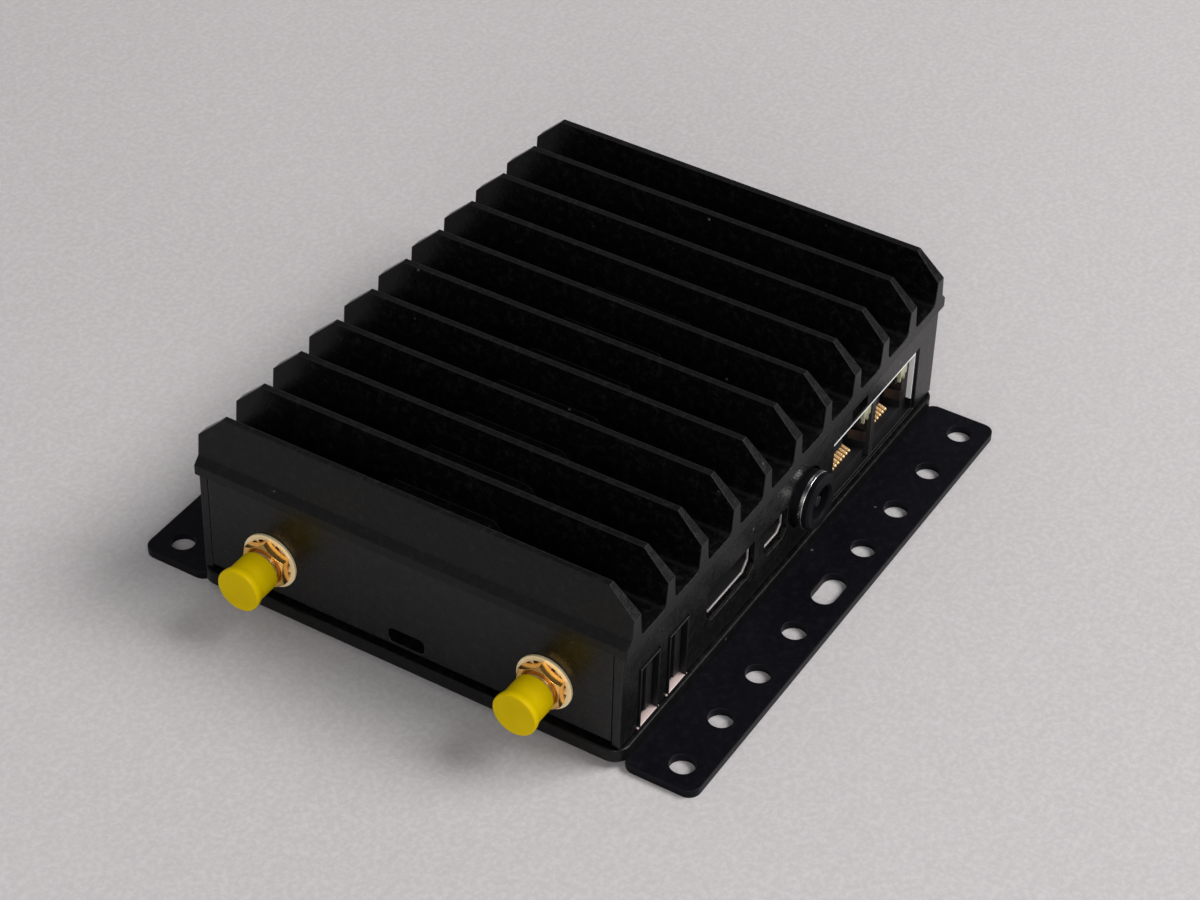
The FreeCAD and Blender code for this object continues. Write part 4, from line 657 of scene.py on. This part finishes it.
def threaded_connector(side):
    """Turned body: neck and shoulder behind the panel, plain collar, thread and hollow tip."""
    centre = antenna_middle(side)
    low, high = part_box(f"{side}_antenna_connector")
    panel_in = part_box("antenna_side_panel")[0][0]
    panel_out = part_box("antenna_side_panel")[1][0]
    back = low[0]
    tip = high[0]
    shoulder = panel_in - SHOULDER_DEPTH
    socket_floor = tip - SOCKET_DEPTH
    outline = [
        (back, 0.0, 0.0),
        (back, NECK_RADIUS, 0.0002),
        (shoulder, NECK_RADIUS, 0.0),
        (shoulder, SHOULDER_RADIUS, 0.0002),
        (panel_in, SHOULDER_RADIUS, 0.0),
        (panel_in, THREAD_CREST, 0.0),
        (panel_out + COLLAR_LENGTH, THREAD_CREST, 0.0),
        (panel_out + COLLAR_TAPER_ENDS, THREAD_ROOT, 0.0),
        (tip - TIP_BEVEL_LENGTH, THREAD_ROOT, 0.0),
        (tip, THREAD_ROOT - TIP_BEVEL_DEPTH, 0.0),
        (tip, SOCKET_RADIUS, 0.0001),
        (socket_floor, SOCKET_RADIUS, 0.0),
        (socket_floor, 0.0, 0.0),
    ]
    shape = bmesh.new()
    turn(shape, round_off(outline), centre)
    wind_thread(shape, centre, panel_out + THREAD_STARTS, tip - THREAD_STOPS)
    piece = add_piece(f"{side}_threaded_connector", shape, "gold", angle=25.0)
    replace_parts(piece, f"{side}_antenna_connector")


def toothed_washers():
    """A ring with tilted teeth inside, behind each antenna connector's nut."""
    shape = bmesh.new()
    low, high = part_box("lock_washers")
    near = low[0]
    far = high[0]
    ring = [(near, WASHER_BORE), (near, WASHER_RIM), (far, WASHER_RIM), (far, WASHER_BORE)]
    ring = round_off([(along, out, FINE_EDGE) for along, out in ring], 3)
    for side in SIDES:
        centre = antenna_middle(side)
        turn(shape, ring, centre)
        for number in range(TOOTH_COUNT):
            place = (
                Matrix.Translation(((near + far) / 2, centre[1], centre[2]))
                @ Matrix.Rotation(math.tau * number / TOOTH_COUNT, 4, "X")
                @ Matrix.Translation((0.0, TOOTH_RADIUS, 0.0))
                @ Matrix.Rotation(math.radians(TOOTH_TILT), 4, "Y")
                @ Matrix.Diagonal((*TOOTH_SIZE, 1.0))
            )
            bmesh.ops.create_cube(shape, size=1.0, matrix=place)
    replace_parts(add_piece("toothed_washers", shape, "washer"), "lock_washers")


def push_on_cap(side):
    """A sleeve with an open mouth, widening into a head with a round rim."""
    centre = antenna_middle(side)
    low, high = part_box(f"{side}_dust_cap")
    mouth = low[0]
    end = high[0]
    outline = [
        (end - CAP_END_WALL, 0.0, 0.0),
        (end - CAP_END_WALL, CAP_BORE, 0.0),
        (mouth, CAP_BORE, 0.0001),
        (mouth, CAP_SLEEVE, 0.00018),
        (end - CAP_FLARE_STARTS, CAP_SLEEVE, 0.0007),
        (end - CAP_FLARE_ENDS, CAP_HEAD, 0.0004),
        (end, CAP_HEAD, 0.00036),
        (end, 0.0, 0.0),
    ]
    shape = bmesh.new()
    turn(shape, round_off(outline, 6), centre, segments=96)
    cap = add_piece(f"{side}_push_on_cap", shape, "vinyl", f"{side}_dust_cap")
    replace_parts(cap, f"{side}_dust_cap")


def port_contacts():
    """Gold strips on the tongues of the upright and the flat sockets."""
    shape = bmesh.new()
    for node in ("outer_usb_tongue", "inner_usb_tongue"):
        low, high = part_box(node)
        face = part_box(node.replace("tongue", "shell"))[0][0] + TONGUE_FACE_DEPTH
        middle = (low[2] + high[2]) / 2
        for place in STRIP_PLACES:
            bottom = middle + place - STRIP_HALF_WIDTH
            top = middle + place + STRIP_HALF_WIDTH
            start = (face - STRIP_SINK, high[1] - STRIP_ENDS, bottom)
            block(shape, start, (face + STRIP_PROUD, high[1] - STRIP_STARTS, top))
    for node in ("right_front_usb_tongue", "left_front_usb_tongue"):
        low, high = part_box(node)
        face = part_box(node.replace("tongue", "shell"))[1][2] - TONGUE_FACE_DEPTH
        middle = (low[0] + high[0]) / 2
        for place in STRIP_PLACES:
            left = middle + place - STRIP_HALF_WIDTH
            right = middle + place + STRIP_HALF_WIDTH
            start = (left, low[1] + STRIP_STARTS, face - STRIP_PROUD)
            block(shape, start, (right, low[1] + STRIP_ENDS, face + STRIP_SINK))
    add_piece("port_contact_strips", shape, "contact")


def port_lips():
    """The flared lower lips of the upright sockets, seen through their openings in the wall."""
    shape = bmesh.new()
    for node in ("outer_usb_shell", "inner_usb_shell"):
        low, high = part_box(node)
        front = high[1]
        start = (low[0] - LIP_OVERHANG, front - LIP_DEPTH, low[2] + LIP_BOTTOM)
        end = (high[0] + LIP_OVERHANG, front - LIP_SETBACK, low[2] + LIP_TOP)
        block(shape, start, end, LIP_EDGE)
    add_piece("flared_port_lips", shape, "lip")


def jack_middles():
    low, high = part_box("network_housing")
    middle = (low[0] + high[0]) / 2
    return [middle - JACK_OFFSET, middle + JACK_OFFSET]


def network_wires(front, floor):
    """Eight bent contact wires in each jack."""
    shape = bmesh.new()
    for middle in jack_middles():
        for number in range(WIRE_COUNT):
            across = middle + (number - (WIRE_COUNT - 1) / 2) * WIRE_PITCH
            bend = (across, front - WIRE_BEND[0], floor + WIRE_BEND[1])
            for behind, above in WIRE_ENDS:
                rod(shape, bend, (across, front - behind, floor + above), WIRE_RADIUS)
    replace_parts(add_piece("network_contact_wires", shape, "contact"), "network_contacts")


def network_windows(front, roof):
    """Two light windows above each jack; that near the plain side panel is proud and has two ribs."""
    shape = bmesh.new()
    for middle in jack_middles():
        for side in (-1, 1):
            lower, upper = sorted((middle + side * WINDOW_INNER, middle + side * WINDOW_OUTER))
            proud = WINDOW_PROUD if side == -1 else 0.0
            start = (lower, front - WINDOW_DEPTH, roof - WINDOW_HEIGHT)
            block(shape, start, (upper, front + proud, roof), FINE_EDGE)
        for place in RIB_PLACES:
            lower = middle + place - RIB_OVERHANG
            start = (lower, front - RIB_DEPTH, roof - RIB_BOTTOM)
            end = (lower + RIB_WIDTH, front + RIB_PROUD, roof - RIB_TOP)
            block(shape, start, end, RIB_EDGE)
    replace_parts(add_piece("network_light_windows", shape, "window"), "network_lights")


def network_fingers(front, floor):
    """One bent spring finger in each jack, on the side towards the plain side panel."""
    shape = bmesh.new()
    for middle in jack_middles():
        outline = [(middle + across, front + outwards) for across, outwards in FINGER_OUTLINE]
        prism(shape, outline, floor + FINGER_BOTTOM, floor + FINGER_TOP)
    add_piece("network_spring_fingers", shape, "bronze")


def network_strips(low, high):
    """Pale edge of the shell, painted light near the plain side panel and along the top, and the
    divider.
    """
    end = low[0]
    front = high[1]
    roof = high[2] + TOP_STRIP_RISE
    strips = bmesh.new()
    # Painted light: pale strips on the shell's lit edge
    start = (end - END_STRIP_OVERHANG, front, END_STRIP_BOTTOM)
    block(strips, start, (end + END_STRIP_WIDTH, front + END_STRIP_PROUD, END_STRIP_TOP))
    start = (end, front + TOP_STRIP_BACK, roof - TOP_STRIP_HEIGHT)
    block(strips, start, (high[0], front + TOP_STRIP_PROUD, roof))
    add_piece("network_end_strip", strips, "tinplate")
    divider = bmesh.new()
    middle = (low[0] + high[0]) / 2
    lowest = (middle - DIVIDER_HALF_WIDTH, front - DIVIDER_SETBACK, low[2])
    highest = (middle + DIVIDER_HALF_WIDTH, front + DIVIDER_PROUD, high[2])
    block(divider, lowest, highest, DIVIDER_EDGE)
    add_piece("network_divider", divider, "divider")


def network_details():
    """Contact wires, light windows, spring fingers, pale strips and divider of the network jack."""
    low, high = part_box("network_housing")
    floor = low[2] + JACK_FLOOR_THICKNESS
    network_wires(high[1], floor)
    network_windows(high[1], high[2] - WINDOW_ROOF)
    network_fingers(high[1], floor)
    network_strips(low, high)


def power_jack_ring():
    """The plated band around the power jack's collar."""
    low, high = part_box("power_jack")
    centre = ((low[0] + high[0]) / 2, 0.0, (low[2] + high[2]) / 2)
    inner = high[1] - BAND_SETBACK - BAND_HALF_WIDTH
    outer = high[1] - BAND_SETBACK + BAND_HALF_WIDTH
    ring = [
        (inner, BAND_INNER, 0.0),
        (inner, BAND_OUTER, BAND_EDGE),
        (outer, BAND_OUTER, BAND_EDGE),
        (outer, BAND_INNER, 0.0),
    ]
    shape = bmesh.new()
    turn(shape, round_off(ring, 3), centre, "Y")
    add_piece("power_jack_band", shape, "shell")


def soften(node, width):
    """Rounds off the sharp edges of a part."""
    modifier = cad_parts[node].modifiers.new("soft_edges", "BEVEL")
    modifier.width = width
    modifier.segments = 2
    modifier.limit_method = "ANGLE"
    modifier.angle_limit = math.radians(40.0)


def lay_table():
    """A wide table, just clear of the mounting plate so that no two faces share a plane."""
    shape = bmesh.new()
    place = Matrix.Translation((0.0, 0.0, -TABLE_GAP))
    bmesh.ops.create_grid(shape, x_segments=1, y_segments=1, size=TABLE_HALF_WIDTH, matrix=place)
    mesh = bpy.data.meshes.new("table_top")
    shape.to_mesh(mesh)
    shape.free()
    table = bpy.data.objects.new("table_top", mesh)
    bpy.context.scene.collection.objects.link(table)
    dress(table, table_top())


def hang_lamp(name, place, size, power):
    """A flat lamp turned towards the middle of the case's foot."""
    data = bpy.data.lights.new(name, "AREA")
    data.shape = "RECTANGLE"
    data.size, data.size_y = size
    data.energy = power
    lamp = bpy.data.objects.new(name, data)
    lamp.location = place
    lamp.rotation_mode = "QUATERNION"
    lamp.rotation_quaternion = (-Vector(place)).to_track_quat("-Z", "Y")
    bpy.context.scene.collection.objects.link(lamp)


def light_room():
    """An even pale room that is a little darker in reflections, a window and two weak lamps."""
    world = bpy.data.worlds.new("studio")
    world.use_nodes = True
    tree = world.node_tree
    background = tree.nodes["Background"]
    path = tree.nodes.new("ShaderNodeLightPath")
    level = tree.nodes.new("ShaderNodeMapRange")
    level.inputs["To Min"].default_value = ROOM_LEVEL
    level.inputs["To Max"].default_value = ROOM_LEVEL_IN_REFLECTIONS
    tree.links.new(path.outputs["Is Glossy Ray"], level.inputs["Value"])
    tree.links.new(level.outputs["Result"], background.inputs["Strength"])
    background.inputs["Color"].default_value = rgb(0.98, 0.98, 1.0)
    bpy.context.scene.world = world
    hang_lamp("window_light", place=(-0.55, 0.95, 1.25), size=(0.9, 0.7), power=25.5)
    hang_lamp("room_fill", place=(1.2, 0.75, 0.75), size=(1.0, 0.8), power=9.0)
    hang_lamp("side_glow", place=(1.3, -0.65, 1.25), size=(1.1, 0.9), power=1.3)


for side_name in SIDES:
    threaded_connector(side_name)
toothed_washers()
for side_name in SIDES:
    push_on_cap(side_name)
port_contacts()
port_lips()
network_details()
power_jack_ring()
soften("hex_nuts", FINE_EDGE)
soften("heat_sink_cover", BROAD_EDGE)
place_camera()
lay_table()
light_room()
